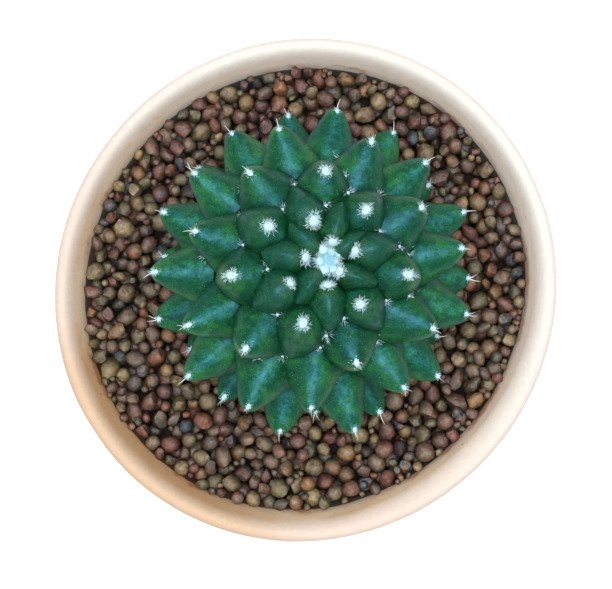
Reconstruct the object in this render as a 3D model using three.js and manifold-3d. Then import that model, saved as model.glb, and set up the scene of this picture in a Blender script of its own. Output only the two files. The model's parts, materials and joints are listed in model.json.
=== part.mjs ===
// A round, globe-shaped cactus in a plain clay pot. The globe is built up of four-angled
// tubercles set on a spiral; each ends in a tuft of wool, and the older ones carry spines.
// The plant's taproot stands in potting soil, under a top dressing of rounded pebbles.
//
// Millimetres, +Z up. The origin is the centre of the pot's underside.
// The plant has a frame of its own: its origin is where the neck passes the top of the bed,
// its axis leans a little, and it stands slightly off the pot's centre.

import * as THREE from 'three';
import * as BufferGeometryUtils from 'three/addons/utils/BufferGeometryUtils.js';
import Module from 'manifold-3d';

const wasm = await Module();
wasm.setup();

// ---------------------------------------------------------------- driving dimensions

// Clay pot
const POT_HEIGHT = 82;
const POT_RIM_RADIUS = 63.2;
const POT_FOOT_RADIUS = 41;
const POT_FOOT_EDGE = 1.6; // rounding of the edge it stands on
const POT_BULGE = 1.5; // how far the wall swells past a straight cone
const POT_LIP_WIDTH = 4.2;
const POT_LIP_RISE = 3; // height of the rounded lip over its shoulders
const POT_FLOOR = 7;
const POT_FLOOR_ROUND = 3; // fillet between floor and wall, inside
const POT_INNER_FLARE = 0.417; // mm outwards for each mm up, above the pebbles
const POT_INNER_TAPER = 0.286; // the same, below them
const POT_OVAL = 0.0148; // share by which the pressed clay is out of round
const POT_OVAL_AZIMUTH = THREE.MathUtils.degToRad(48); // the direction it is longest in
const DRAIN_RADIUS = 6;
const TURN_STEPS = 48; // facets of the turned pieces

// What fills the pot
const BED_Z = 73; // mean height of the pebbles, above the pot's underside
const BED_INNER_RADIUS = 56.3; // the pot's inner radius there
const PEBBLE_LAYER = 7;
const PEBBLE_SPACING = 7.8;
const PEBBLE_RADIUS = 4.5;
const PEBBLE_FLATNESS = 0.58; // height of a pebble over its width
const PEBBLE_SINK = 1.6; // how far the pebbles' centres lie below the bed's mean height
const PEBBLE_CLEAR_RADIUS = 25; // no pebbles are raised deep under the plant's overhang
const PEBBLE_JITTER = 0.15; // how far a pebble strays from its row, over the spacing
const PEBBLE_LEAST = 0.85; // the smallest width and height, over the largest
const PEBBLE_SEED = 7285;
const CLEARANCE = 0.35; // between pieces that lie against each other

// The plant's place
const PLANT_X = -1.33;
const PLANT_Y = 2.52;
const PLANT_LEAN = THREE.MathUtils.degToRad(10.1);
const PLANT_LEAN_AZIMUTH = THREE.MathUtils.degToRad(30.7);

// The plant's body, under its tubercles
const CORE_RADIUS = 27;
const CORE_MIDDLE_Z = 22;
const CORE_RISE = 23; // from its widest section to its crown
const CORE_DROP = 28; // half height of the ellipse that its lower half follows
const NECK_DEPTH = 8;
const NECK_RADIUS = 14;
const ROOT_DEPTH = 45;
const ROOT_SHOULDER_DEPTH = 25;
const ROOT_SHOULDER_RADIUS = 8;
const ROOT_TIP_RADIUS = 2;
const CORE_STEPS = 24; // facets round the body
const CORE_SECTION_STEP = 20; // degrees from one of its sections to the next
const CORE_LOWEST_SECTION = 140; // degrees from the crown, where the neck begins

// The spiral of tubercles, numbered from the crown outwards. Those with a number below 0
// are only sprouting: their tips are still under the crown's wool.
const YOUNGEST = -3;
const OLDEST = 60;
const SPIRAL_START = THREE.MathUtils.degToRad(335);
const SPIRAL_DIVERGENCE = THREE.MathUtils.degToRad(99.58); // turn from each to the next
const SPIRAL_STEP = 2.695; // degrees down from the crown, for the first
const SPIRAL_OFFSET = 0.749;
const SPIRAL_POWER = 0.9685;
const TIP_RADIUS = 40.2; // the tips lie on an ellipsoid of this radius
const TIP_MIDDLE_Z = 23.5;
const TIP_RISE = 28;
const CROWN_DIMPLE = 3; // the youngest tips lie in a shallow hollow
const CROWN_DIMPLE_SPREAD = 15; // degrees
const LOWEST_TIP = 5; // tubercles whose tips would lie lower than this are withered away
const TUBERCLE_SIDES = 8;
const SECTION_SHARES = [-0.3, 0.35, 0.7, 0.94]; // sections along its length, the first sunk
const ROOT_SECTION_POWER = 1.5; // 1 is a diamond, 2 an ellipse
const TIP_SECTION_POWER = 2;
const YOUNG_TAPER = [2.6, 0.6]; // width is (1 - share ** first) ** second
const OLD_TAPER = [1.2, 0.75];
const YOUNG_WIDTH = 0.84; // half width over the spacing of the roots, at the crown
const OLD_WIDTH = 0.7; // the same, lower down
const YOUNG_INWARD_LEAN = 18; // degrees that the root of the youngest lies outside its tip
const YOUNG_LEAN_SPREAD = 35; // degrees over which that dies away
const YOUNG_STRETCH = 0.6; // how much longer than wide the youngest are
const YOUNG_STRETCH_SPREAD = 15;
const SPROUT_TIP_ANGLE = 4; // degrees from the crown
const SPROUT_ROOT_STEP = 1.4; // degrees that each lies inside the one before
const OLD_ANGLE = 60; // tubercles further than this from the crown are full grown

// Some tips stand off the even spiral: millimetres towards +X and +Y
const TIP_SHIFTS = new Map([
  [0, [1.6, -2.0]], [1, [0.5, 1.0]], [3, [-0.4, 0.8]], [4, [-1.8, 0.1]],
  [5, [0.8, -0.4]], [6, [1.2, 0.8]], [7, [-1.2, -0.5]], [9, [0.8, -0.3]],
  [10, [0.3, 2.2]], [14, [-0.6, -1.3]], [15, [1.0, 0.9]], [16, [-1.2, -0.1]],
  [18, [1.6, 0]], [19, [0, 1.4]], [21, [-0.7, -2.1]], [22, [1.1, 0.7]],
  [23, [-1.0, -0.5]], [32, [1.4, -0.4]], [34, [0.2, -1.3]], [38, [1.0, -0.2]],
  [49, [-0.7, 1.2]], [53, [-2.2, -1.4]],
]);

// Wool and spines
const TUFT_RADIUS_YOUNG = 1.7;
const TUFT_RADIUS_OLD = 1.0;
const TUFT_THICKNESS = 0.55; // over its radius
const FIRST_SPINED = 14; // tubercles younger than this have wool only
const SPINE_LENGTH = 3.2;
const SPINE_RADIUS = 0.24;
const SPINE_SPREAD = 0.55; // sideways over forwards
const SPINE_RISE = 0.25; // upwards over forwards, for one; the other dips as much
const SPINE_SINK = 0.6; // how deep its root lies in the wool
const SPINE_TIP_SHARE = 0.33; // thickness at the point over that at the root
const WOOL_LUMP_RADIUS = 1.9;
const WOOL_RING_RADIUS = 1.8;
const WOOL_LUMPS = 5;
const WOOL_Z = 48.6; // above the bed, in the plant's frame

// ---------------------------------------------------------------- materials

const finish = (color, roughness) =>
  new THREE.MeshStandardMaterial({ color, roughness, metalness: 0 });

const CLAY = finish('#ecd9c4', 0.85);
const SOIL = finish('#2b1f17', 0.95);
const PEBBLE = finish('#6b5343', 0.6);
const SKIN = finish('#1f5b3c', 0.42);
const WOOL = finish('#eef4f2', 0.95);

// ---------------------------------------------------------------- solids and meshes

// A closed geometry as a solid that can be joined and cut.
function solid(geometry, matrix = new THREE.Matrix4()) {
  const bare = geometry.clone().applyMatrix4(matrix);
  for (const name of Object.keys(bare.attributes)) {
    if (name !== 'position') bare.deleteAttribute(name);
  }
  const merged = BufferGeometryUtils.mergeVertices(bare, 1e-4);
  const triangles = [];
  const index = merged.index.array;
  for (let i = 0; i < index.length; i += 3) {
    const [a, b, c] = [index[i], index[i + 1], index[i + 2]];
    if (a !== b && b !== c && c !== a) triangles.push(a, b, c);
  }
  return new wasm.Manifold(new wasm.Mesh({
    numProp: 3,
    vertProperties: Float32Array.from(merged.attributes.position.array),
    triVerts: Uint32Array.from(triangles),
  }));
}

// A solid back as a named mesh.
function meshOf(name, body, material) {
  const { vertProperties, triVerts, numProp } = body.getMesh();
  const positions = new Float32Array((vertProperties.length / numProp) * 3);
  for (let i = 0; i < positions.length / 3; i += 1) {
    for (let k = 0; k < 3; k += 1) positions[3 * i + k] = vertProperties[numProp * i + k];
  }
  const geometry = new THREE.BufferGeometry();
  geometry.setAttribute('position', new THREE.BufferAttribute(positions, 3));
  geometry.setIndex(new THREE.BufferAttribute(Uint32Array.from(triVerts), 1));
  geometry.computeVertexNormals();
  const mesh = new THREE.Mesh(geometry, material);
  mesh.name = name;
  return mesh;
}

// A piece turned about Z, from its half section as [radius, height] pairs.
const STAND_UP = new THREE.Matrix4().makeRotationX(Math.PI / 2);

function turned(profile, steps = TURN_STEPS) {
  const points = profile.map(([radius, height]) => new THREE.Vector2(radius, height));
  return solid(new THREE.LatheGeometry(points, steps), STAND_UP);
}

// The same, slightly oval, as the pot and all that fills it out to its wall are.
const OVAL = new THREE.Matrix4().makeRotationZ(POT_OVAL_AZIMUTH)
  .multiply(new THREE.Matrix4().makeScale(1 + POT_OVAL, 1 - POT_OVAL, 1))
  .multiply(new THREE.Matrix4().makeRotationZ(-POT_OVAL_AZIMUTH));

function turnedOval(profile) {
  return turned(profile).transform(OVAL.elements);
}

// The largest closed piece of a solid, without the scraps that a cut leaves.
function mainPiece(body) {
  const pieces = body.decompose();
  return pieces.reduce((best, piece) => (piece.volume() > best.volume() ? piece : best));
}

// A seeded source of even random numbers from 0 to 1.
function seededRandom(seed) {
  let state = seed;
  return () => {
    state = (state + 0x6d2b79f5) | 0;
    let mixed = Math.imul(state ^ (state >>> 15), 1 | state);
    mixed = (mixed + Math.imul(mixed ^ (mixed >>> 7), 61 | mixed)) ^ mixed;
    return ((mixed ^ (mixed >>> 14)) >>> 0) / 4294967296;
  };
}

// ---------------------------------------------------------------- pot

const SHOULDER_Z = POT_HEIGHT - POT_LIP_RISE;

function potOuterRadius(z) {
  const share = z / SHOULDER_Z;
  return POT_FOOT_RADIUS + (POT_RIM_RADIUS - POT_FOOT_RADIUS) * share
    + POT_BULGE * Math.sin(Math.PI * share);
}

function potInnerRadius(z) {
  const slope = z > BED_Z ? POT_INNER_FLARE : POT_INNER_TAPER;
  return BED_INNER_RADIUS + (z - BED_Z) * slope;
}

function makePot() {
  const profile = [
    [DRAIN_RADIUS, 0],
    [POT_FOOT_RADIUS - POT_FOOT_EDGE, 0],
  ];
  for (const share of [0.02, 0.2, 0.4, 0.6, 0.8, 1]) {
    profile.push([potOuterRadius(share * SHOULDER_Z), share * SHOULDER_Z]);
  }
  const lipMiddle = POT_RIM_RADIUS - POT_LIP_WIDTH / 2;
  for (let degrees = 30; degrees <= 180; degrees += 30) {
    const angle = THREE.MathUtils.degToRad(degrees);
    profile.push([
      lipMiddle + (POT_LIP_WIDTH / 2) * Math.cos(angle),
      SHOULDER_Z + POT_LIP_RISE * Math.sin(angle),
    ]);
  }
  profile.push([potInnerRadius(BED_Z), BED_Z]);
  profile.push([potInnerRadius(POT_FLOOR + POT_FLOOR_ROUND), POT_FLOOR + POT_FLOOR_ROUND]);
  profile.push([potInnerRadius(POT_FLOOR) - POT_FLOOR_ROUND, POT_FLOOR]);
  profile.push([DRAIN_RADIUS, POT_FLOOR]);
  profile.push([DRAIN_RADIUS, 0]);
  return turnedOval(profile);
}

// ---------------------------------------------------------------- the plant's body

const PLANT_FRAME = new THREE.Matrix4()
  .makeTranslation(PLANT_X, PLANT_Y, BED_Z)
  .multiply(new THREE.Matrix4().makeRotationAxis(
    new THREE.Vector3(-Math.sin(PLANT_LEAN_AZIMUTH), Math.cos(PLANT_LEAN_AZIMUTH), 0),
    PLANT_LEAN,
  ));

// A point of the body's skin, by its angle down from the crown.
function coreSection(angle) {
  const half = angle < Math.PI / 2 ? CORE_RISE : CORE_DROP;
  return [CORE_RADIUS * Math.sin(angle), CORE_MIDDLE_Z + half * Math.cos(angle)];
}

// The body with its neck and taproot; grown is how much fatter it is made, for its hole.
function makeCore(grown = 0) {
  const profile = [[0, -ROOT_DEPTH - grown]];
  profile.push([ROOT_TIP_RADIUS + grown, -ROOT_DEPTH - grown]);
  profile.push([ROOT_SHOULDER_RADIUS + grown, -ROOT_SHOULDER_DEPTH]);
  profile.push([NECK_RADIUS + grown, -NECK_DEPTH]);
  for (let degrees = CORE_LOWEST_SECTION; degrees > 0; degrees -= CORE_SECTION_STEP) {
    const [radius, height] = coreSection(THREE.MathUtils.degToRad(degrees));
    profile.push([radius + grown, height]);
  }
  profile.push([0, CORE_MIDDLE_Z + CORE_RISE + grown]);
  return turned(profile, CORE_STEPS).transform(PLANT_FRAME.elements);
}

// ---------------------------------------------------------------- tubercles

function tipAngle(number) {
  if (number < 0) return SPROUT_TIP_ANGLE;
  return SPIRAL_STEP * (number + SPIRAL_OFFSET) ** SPIRAL_POWER;
}

function rootAngle(number) {
  if (number < 0) return rootAngle(0) + number * SPROUT_ROOT_STEP;
  const tip = tipAngle(number);
  return tip + YOUNG_INWARD_LEAN * Math.exp(-tip / YOUNG_LEAN_SPREAD);
}

// Where a tubercle's tip and root lie, its width, and the frame of its sections.
function tuberclePlace(number) {
  const azimuth = SPIRAL_START + number * SPIRAL_DIVERGENCE;
  const degrees = tipAngle(number);
  const angle = THREE.MathUtils.degToRad(degrees);
  const dimple = CROWN_DIMPLE * Math.exp(-((degrees / CROWN_DIMPLE_SPREAD) ** 2));
  const tip = new THREE.Vector3(
    TIP_RADIUS * Math.sin(angle) * Math.cos(azimuth),
    TIP_RADIUS * Math.sin(angle) * Math.sin(azimuth),
    TIP_MIDDLE_Z + TIP_RISE * Math.cos(angle) - dimple,
  ).applyMatrix4(PLANT_FRAME);
  const [shiftX, shiftY] = TIP_SHIFTS.get(number) ?? [0, 0];
  tip.add(new THREE.Vector3(shiftX, shiftY, 0));

  const rootTilt = THREE.MathUtils.degToRad(rootAngle(number));
  const [radius, height] = coreSection(rootTilt);
  const root = new THREE.Vector3(
    radius * Math.cos(azimuth), radius * Math.sin(azimuth), height,
  ).applyMatrix4(PLANT_FRAME);

  const nextTilt = THREE.MathUtils.degToRad(rootAngle(number + 1));
  const rootArea = 2 * Math.PI * radius * CORE_RADIUS * (nextTilt - rootTilt);
  const stretch = 1 + YOUNG_STRETCH * Math.exp(-degrees / YOUNG_STRETCH_SPREAD);
  const age = Math.min(degrees / OLD_ANGLE, 1);
  const axis = tip.clone().sub(root).normalize();
  const sideways = new THREE.Vector3(-Math.sin(azimuth), Math.cos(azimuth), 0)
    .transformDirection(PLANT_FRAME);
  sideways.addScaledVector(axis, -sideways.dot(axis)).normalize();
  return {
    tip,
    root,
    axis,
    sideways,
    upwards: new THREE.Vector3().crossVectors(sideways, axis).normalize(),
    length: tip.distanceTo(root),
    halfWidth: THREE.MathUtils.lerp(YOUNG_WIDTH, OLD_WIDTH, age) * Math.sqrt(rootArea),
    stretch,
    age,
  };
}

// A tubercle: sections from its sunken root to its tip, diamonds that turn rounder.
function makeTubercle(place) {
  const { root, axis, sideways, upwards, length, halfWidth, stretch, age } = place;
  const positions = [];
  const [fall, rounding] = YOUNG_TAPER.map(
    (young, part) => THREE.MathUtils.lerp(young, OLD_TAPER[part], age),
  );
  for (const share of SECTION_SHARES) {
    const raised = Math.max(share, 0);
    const width = halfWidth * (1 - raised ** fall) ** rounding;
    const power = THREE.MathUtils.lerp(ROOT_SECTION_POWER, TIP_SECTION_POWER, raised);
    for (let side = 0; side < TUBERCLE_SIDES; side += 1) {
      const angle = (2 * Math.PI * side) / TUBERCLE_SIDES;
      const [cos, sin] = [Math.cos(angle), Math.sin(angle)];
      const across = width * Math.sign(cos) * Math.abs(cos) ** (2 / power);
      const along = width * stretch * Math.sign(sin) * Math.abs(sin) ** (2 / power);
      const point = root.clone().addScaledVector(axis, share * length)
        .addScaledVector(sideways, across).addScaledVector(upwards, along);
      positions.push(...point.toArray());
    }
  }
  const rootEnd = positions.length / 3;
  positions.push(...root.clone().addScaledVector(axis, SECTION_SHARES[0] * length).toArray());
  const tipEnd = rootEnd + 1;
  positions.push(...place.tip.toArray());

  const triangles = [];
  for (let ring = 0; ring + 1 < SECTION_SHARES.length; ring += 1) {
    for (let side = 0; side < TUBERCLE_SIDES; side += 1) {
      const next = (side + 1) % TUBERCLE_SIDES;
      const [a, b] = [ring * TUBERCLE_SIDES + side, ring * TUBERCLE_SIDES + next];
      const [c, d] = [a + TUBERCLE_SIDES, b + TUBERCLE_SIDES];
      triangles.push(a, c, b, b, c, d);
    }
  }
  const lastRing = (SECTION_SHARES.length - 1) * TUBERCLE_SIDES;
  for (let side = 0; side < TUBERCLE_SIDES; side += 1) {
    const next = (side + 1) % TUBERCLE_SIDES;
    triangles.push(rootEnd, side, next);
    triangles.push(tipEnd, lastRing + next, lastRing + side);
  }
  const geometry = new THREE.BufferGeometry();
  geometry.setAttribute('position', new THREE.Float32BufferAttribute(positions, 3));
  geometry.setIndex(triangles);
  return solid(geometry);
}

// ---------------------------------------------------------------- wool and spines

// A frame with +Z along a direction, at a point.
function frameAlong(direction, point) {
  const turn = new THREE.Quaternion()
    .setFromUnitVectors(new THREE.Vector3(0, 0, 1), direction.clone().normalize());
  return new THREE.Matrix4().compose(point, turn, new THREE.Vector3(1, 1, 1));
}

function makeTuft(place) {
  const radius = THREE.MathUtils.lerp(TUFT_RADIUS_YOUNG, TUFT_RADIUS_OLD, place.age);
  const frame = frameAlong(place.axis, place.tip)
    .multiply(new THREE.Matrix4().makeScale(1, 1, TUFT_THICKNESS));
  return solid(new THREE.OctahedronGeometry(radius, 0), frame);
}

function makeSpine(place, side) {
  const direction = place.axis.clone()
    .addScaledVector(place.sideways, side * SPINE_SPREAD)
    .addScaledVector(place.upwards, side * SPINE_RISE)
    .normalize();
  const middle = place.tip.clone()
    .addScaledVector(direction, SPINE_LENGTH / 2 - SPINE_SINK);
  const needle = new THREE.CylinderGeometry(
    SPINE_RADIUS * SPINE_TIP_SHARE, SPINE_RADIUS, SPINE_LENGTH, 3,
  );
  return solid(needle, frameAlong(direction, middle).multiply(STAND_UP));
}

// The white wool in the crown: a ring of lumps about one in the middle.
function makeCrownWool(grown = 0) {
  const lumps = [];
  for (let lump = 0; lump <= WOOL_LUMPS; lump += 1) {
    const angle = (2 * Math.PI * lump) / WOOL_LUMPS;
    const reach = lump === WOOL_LUMPS ? 0 : WOOL_RING_RADIUS;
    const place = new THREE.Vector3(
      reach * Math.cos(angle), reach * Math.sin(angle), WOOL_Z,
    ).applyMatrix4(PLANT_FRAME);
    const ball = new THREE.IcosahedronGeometry(WOOL_LUMP_RADIUS + grown, 0);
    lumps.push(solid(ball, new THREE.Matrix4().makeTranslation(...place.toArray())));
  }
  return wasm.Manifold.union(lumps);
}

// ---------------------------------------------------------------- the whole plant

function makeCactus() {
  const raised = [];
  const trim = [];
  for (let number = YOUNGEST; number <= OLDEST; number += 1) {
    const place = tuberclePlace(number);
    if (place.tip.z < BED_Z + LOWEST_TIP) continue;
    raised.push(makeTubercle(place));
    if (number >= 0) trim.push(makeTuft(place));
    if (number >= FIRST_SPINED) trim.push(makeSpine(place, -1), makeSpine(place, 1));
  }
  const tubercles = wasm.Manifold.union(raised).subtract(makeGround());
  const plant = wasm.Manifold.union([makeCore(), tubercles, ...trim]);
  return mainPiece(plant.subtract(makeCrownWool(CLEARANCE)));
}

// Everything below the pebbles' tops, which the tubercles are flattened against.
const PEBBLE_TOP = BED_Z - PEBBLE_SINK + PEBBLE_RADIUS * PEBBLE_FLATNESS;

function makeGround() {
  const top = PEBBLE_TOP + CLEARANCE;
  return turned([[0, 0], [POT_RIM_RADIUS, 0], [POT_RIM_RADIUS, top], [0, top]]);
}

// ---------------------------------------------------------------- soil and pebbles

const LAYER_Z = BED_Z - PEBBLE_LAYER; // where the soil ends and the pebbles begin

function makeSoil() {
  const bottom = POT_FLOOR + CLEARANCE;
  const corner = POT_FLOOR + POT_FLOOR_ROUND;
  const filling = turnedOval([
    [0, bottom],
    [potInnerRadius(POT_FLOOR) - POT_FLOOR_ROUND - CLEARANCE, bottom],
    [potInnerRadius(corner) - CLEARANCE, corner],
    [potInnerRadius(LAYER_Z) - CLEARANCE, LAYER_Z - CLEARANCE],
    [0, LAYER_Z - CLEARANCE],
  ]);
  return mainPiece(filling.subtract(makeCore(CLEARANCE)));
}

function makePebble(x, y, random) {
  const shape = new THREE.Matrix4()
    .makeTranslation(x, y, BED_Z - PEBBLE_SINK)
    .multiply(new THREE.Matrix4().makeRotationZ(random() * 2 * Math.PI))
    .multiply(new THREE.Matrix4().makeScale(
      1,
      THREE.MathUtils.lerp(PEBBLE_LEAST, 1, random()),
      PEBBLE_FLATNESS * THREE.MathUtils.lerp(PEBBLE_LEAST, 1, random()),
    ));
  return solid(new THREE.IcosahedronGeometry(PEBBLE_RADIUS, 0), shape);
}

function makePebbles() {
  const random = seededRandom(PEBBLE_SEED);
  const stones = [];
  const rowStep = PEBBLE_SPACING * Math.sqrt(3) / 2;
  const rows = Math.ceil(BED_INNER_RADIUS / rowStep);
  for (let row = -rows; row <= rows; row += 1) {
    for (let column = -rows; column <= rows; column += 1) {
      const jitter = () => (2 * random() - 1) * PEBBLE_SPACING * PEBBLE_JITTER;
      const x = (column + (row % 2) / 2) * PEBBLE_SPACING + jitter();
      const y = row * rowStep + jitter();
      const fromPlant = Math.hypot(x - PLANT_X, y - PLANT_Y);
      if (Math.hypot(x, y) > BED_INNER_RADIUS || fromPlant < PEBBLE_CLEAR_RADIUS) continue;
      stones.push(makePebble(x, y, random));
    }
  }
  const bedTop = BED_Z - PEBBLE_SINK;
  const bed = turnedOval([
    [0, LAYER_Z], [BED_INNER_RADIUS, LAYER_Z], [BED_INNER_RADIUS, bedTop], [0, bedTop],
  ]);
  const inside = turnedOval([
    [0, LAYER_Z],
    [potInnerRadius(LAYER_Z) - CLEARANCE, LAYER_Z],
    [potInnerRadius(BED_Z) - CLEARANCE, BED_Z],
    [potInnerRadius(SHOULDER_Z) - CLEARANCE, SHOULDER_Z],
    [0, SHOULDER_Z],
  ]);
  const heap = wasm.Manifold.union([bed, ...stones]).intersect(inside);
  return mainPiece(heap.subtract(makeCore(CLEARANCE)));
}

// ---------------------------------------------------------------- the whole object

const pottedCactus = new THREE.Group();
pottedCactus.add(
  meshOf('pot', makePot(), CLAY),
  meshOf('soil', makeSoil(), SOIL),
  meshOf('gravel', makePebbles(), PEBBLE),
  meshOf('cactus', makeCactus(), SKIN),
  meshOf('crown_wool', makeCrownWool(), WOOL),
);

export default pottedCactus;
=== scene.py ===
"""A potted round cactus: the looks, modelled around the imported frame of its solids.

The plant is a globe of keeled tubercles on a spiral, with white wool on their tips, hairs in
the corners between them and short spines on the older ones. It stands in a plain pressed clay
pot, in compost under a dressing of small baked-clay grains. Sizes are in millimetres, and they
turn to metres where a mesh or a material is made.
"""

from __future__ import annotations

import json
import logging
import math
from collections.abc import Iterator, Sequence
from contextlib import contextmanager
from dataclasses import astuple, dataclass, field
from enum import Enum
from functools import reduce
from itertools import islice, pairwise
from typing import Any

import bpy
import numpy as np
from bpy.types import Material, NodeSocket, Object
from mathutils import Matrix, Vector
from mathutils.bvhtree import BVHTree

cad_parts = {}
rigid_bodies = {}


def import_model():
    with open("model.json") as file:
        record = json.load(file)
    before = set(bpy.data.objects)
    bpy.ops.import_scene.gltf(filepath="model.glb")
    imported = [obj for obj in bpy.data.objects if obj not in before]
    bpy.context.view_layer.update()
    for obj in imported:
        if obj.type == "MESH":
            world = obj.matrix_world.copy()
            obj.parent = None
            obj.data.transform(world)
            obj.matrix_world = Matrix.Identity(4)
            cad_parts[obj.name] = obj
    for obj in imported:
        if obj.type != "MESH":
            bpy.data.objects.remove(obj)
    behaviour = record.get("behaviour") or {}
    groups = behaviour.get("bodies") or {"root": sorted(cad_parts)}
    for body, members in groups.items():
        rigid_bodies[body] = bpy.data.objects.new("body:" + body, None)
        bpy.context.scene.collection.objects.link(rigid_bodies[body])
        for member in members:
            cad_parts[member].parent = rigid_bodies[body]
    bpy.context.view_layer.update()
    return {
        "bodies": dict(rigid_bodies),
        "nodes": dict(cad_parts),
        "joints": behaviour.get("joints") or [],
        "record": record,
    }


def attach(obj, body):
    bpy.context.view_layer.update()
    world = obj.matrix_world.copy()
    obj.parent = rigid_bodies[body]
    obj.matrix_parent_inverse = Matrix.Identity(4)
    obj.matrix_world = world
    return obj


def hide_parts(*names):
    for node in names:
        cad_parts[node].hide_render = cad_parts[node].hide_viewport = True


LOG = logging.getLogger("potted_cactus")
MM = 0.001  # metres in a millimetre
UP = Vector((0.0, 0.0, 1.0))
ANY_SPIN = 6.28  # radians, the widest random spin


# ---- modelling helpers


def deselect_all() -> None:
    """Leaves nothing selected, in object mode."""
    if bpy.context.object and bpy.context.object.mode != "OBJECT":
        bpy.ops.object.mode_set(mode="OBJECT")
    bpy.ops.object.select_all(action="DESELECT")


def select_only(piece: Object) -> None:
    """Makes one object the selected and active one.

    Args:
        piece: The object.
    """
    deselect_all()
    piece.select_set(True)
    bpy.context.view_layer.objects.active = piece


@contextmanager
def all_in_edit_mode(piece: Object) -> Iterator[None]:
    """Opens a piece in edit mode with all of it selected, and closes it again.

    Args:
        piece: The object.

    Yields:
        Nothing, once, for the work in edit mode.
    """
    select_only(piece)
    bpy.ops.object.mode_set(mode="EDIT")
    bpy.ops.mesh.select_all(action="SELECT")
    yield
    bpy.ops.object.mode_set(mode="OBJECT")


def shade_by_angle(piece: Object, degrees: float) -> None:
    """Shades a piece smooth, except over edges sharper than an angle."""
    select_only(piece)
    bpy.ops.object.shade_smooth_by_angle(angle=math.radians(degrees))


def apply_modifier(piece: Object, kind: str, **settings: Any) -> None:
    """Adds a modifier to a piece and applies it.

    Args:
        piece: The object to change.
        kind: The modifier's type, such as "DISPLACE".
        settings: The modifier's own properties.
    """
    select_only(piece)
    modifier = piece.modifiers.new(kind.lower(), kind)
    for name, value in settings.items():
        setattr(modifier, name, value)
    bpy.ops.object.modifier_apply(modifier=modifier.name)


def ruffle(piece: Object, name: str, size: float, relief: float, group: str = "") -> None:
    """Lays soft, irregular waves over a piece.

    Args:
        piece: The object.
        name: What the waves are called.
        size: From wave to wave.
        relief: From the lowest to the highest.
        group: The vertex group that they stay in, if any.
    """
    waves = bpy.data.textures.new(name, "CLOUDS")
    waves.noise_scale = size * MM
    apply_modifier(
        piece, "DISPLACE", texture=waves, strength=relief * MM, mid_level=0.5, vertex_group=group
    )


@dataclass(frozen=True)
class Ring:
    """One ring of a stacked form: its radius and the place of its centre."""

    radius: float
    height: float
    forward: float = 0.0

    @property
    def centre(self) -> Vector:
        """The ring's centre, in metres."""
        return Vector((self.forward, 0.0, self.height)) * MM


def stack_rings(name: str, sides: int, rings: Sequence[Ring], closed_loop: bool = False) -> Object:
    """Models a round form by drawing a circle up through its rings.

    Args:
        name: The new object's name.
        sides: Corners of the circle.
        rings: The rings, from the first to the last.
        closed_loop: True where the last ring is the first again, as on a hollow pot;
            otherwise both ends are drawn together to a point.

    Returns:
        The new object, in metres, at the origin.
    """
    merge_below = 0.0005 * MM
    deselect_all()
    bpy.ops.mesh.primitive_circle_add(vertices=sides, radius=rings[0].radius * MM)
    piece = bpy.context.object
    piece.name = name
    bpy.ops.object.mode_set(mode="EDIT")
    bpy.ops.mesh.select_all(action="SELECT")
    bpy.ops.transform.translate(value=rings[0].centre)
    for before, after in pairwise(rings):
        step = Vector((after.forward - before.forward, 0.0, after.height - before.height)) * MM
        bpy.ops.mesh.extrude_region_move(TRANSFORM_OT_translate={"value": step})
        share = after.radius / before.radius
        bpy.ops.transform.resize(value=(share, share, 1.0), center_override=after.centre)
    if not closed_loop:
        bpy.ops.mesh.merge(type="CENTER")
        bpy.ops.mesh.select_all(action="DESELECT")
        bpy.ops.object.mode_set(mode="OBJECT")
        for vertex in piece.data.vertices[:sides]:
            vertex.select = True
        bpy.ops.object.mode_set(mode="EDIT")
        bpy.ops.mesh.merge(type="CENTER")
    bpy.ops.mesh.select_all(action="SELECT")
    bpy.ops.mesh.remove_doubles(threshold=merge_below)
    bpy.ops.mesh.normals_make_consistent(inside=False)
    bpy.ops.object.mode_set(mode="OBJECT")
    return piece


@dataclass
class Stamp:
    """A small mesh in millimetres that is copied many times into one piece."""

    points: np.ndarray
    triangles: np.ndarray

    @classmethod
    def taken_from(cls, piece: Object) -> Stamp:
        """Takes the mesh of a modelled object, which it removes.

        Args:
            piece: The object.

        Returns:
            Its mesh as triangles.
        """
        mesh = piece.data
        mesh.calc_loop_triangles()
        points = np.array([vertex.co[:] for vertex in mesh.vertices]) / MM
        triangles = np.array([triangle.vertices[:] for triangle in mesh.loop_triangles])
        bpy.data.objects.remove(piece)
        bpy.data.meshes.remove(mesh)
        return cls(points, triangles)

    @classmethod
    def gathered(cls, copies: Sequence[tuple[Stamp, Matrix]]) -> tuple[Stamp, np.ndarray, np.ndarray]:
        """Joins copies of stamps.

        Args:
            copies: Each stamp with the place of its copy.

        Returns:
            The joined stamp, and for each of its points the number of its copy and how far it
            lies from that copy's place.
        """
        sizes = [len(stamp.points) for stamp, _ in copies]
        owners = np.repeat(np.arange(len(copies)), sizes)
        starts = np.cumsum([0, *sizes[:-1]])
        points = np.concatenate([stamp.moved(place) for stamp, place in copies])
        triangles = np.concatenate([
            stamp.triangles + start for (stamp, _), start in zip(copies, starts)
        ])
        places = np.array([place.to_translation()[:] for _, place in copies])
        return cls(points, triangles), owners, np.linalg.norm(points - places[owners], axis=1)

    def moved(self, place: Matrix) -> np.ndarray:
        """The points after a move, as an array of rows."""
        turn = np.array(place.to_3x3())
        return self.points @ turn.T + np.array(place.to_translation())

    def as_object(self, name: str) -> Object:
        """Makes a new object of this mesh.

        Args:
            name: Its name.

        Returns:
            The object, in metres, smooth-shaded.
        """
        mesh = bpy.data.meshes.new(name)
        mesh.from_pydata((self.points * MM).tolist(), [], self.triangles.tolist())
        mesh.update()
        piece = bpy.data.objects.new(name, mesh)
        bpy.context.scene.collection.objects.link(piece)
        mesh.shade_smooth()
        return piece


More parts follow.
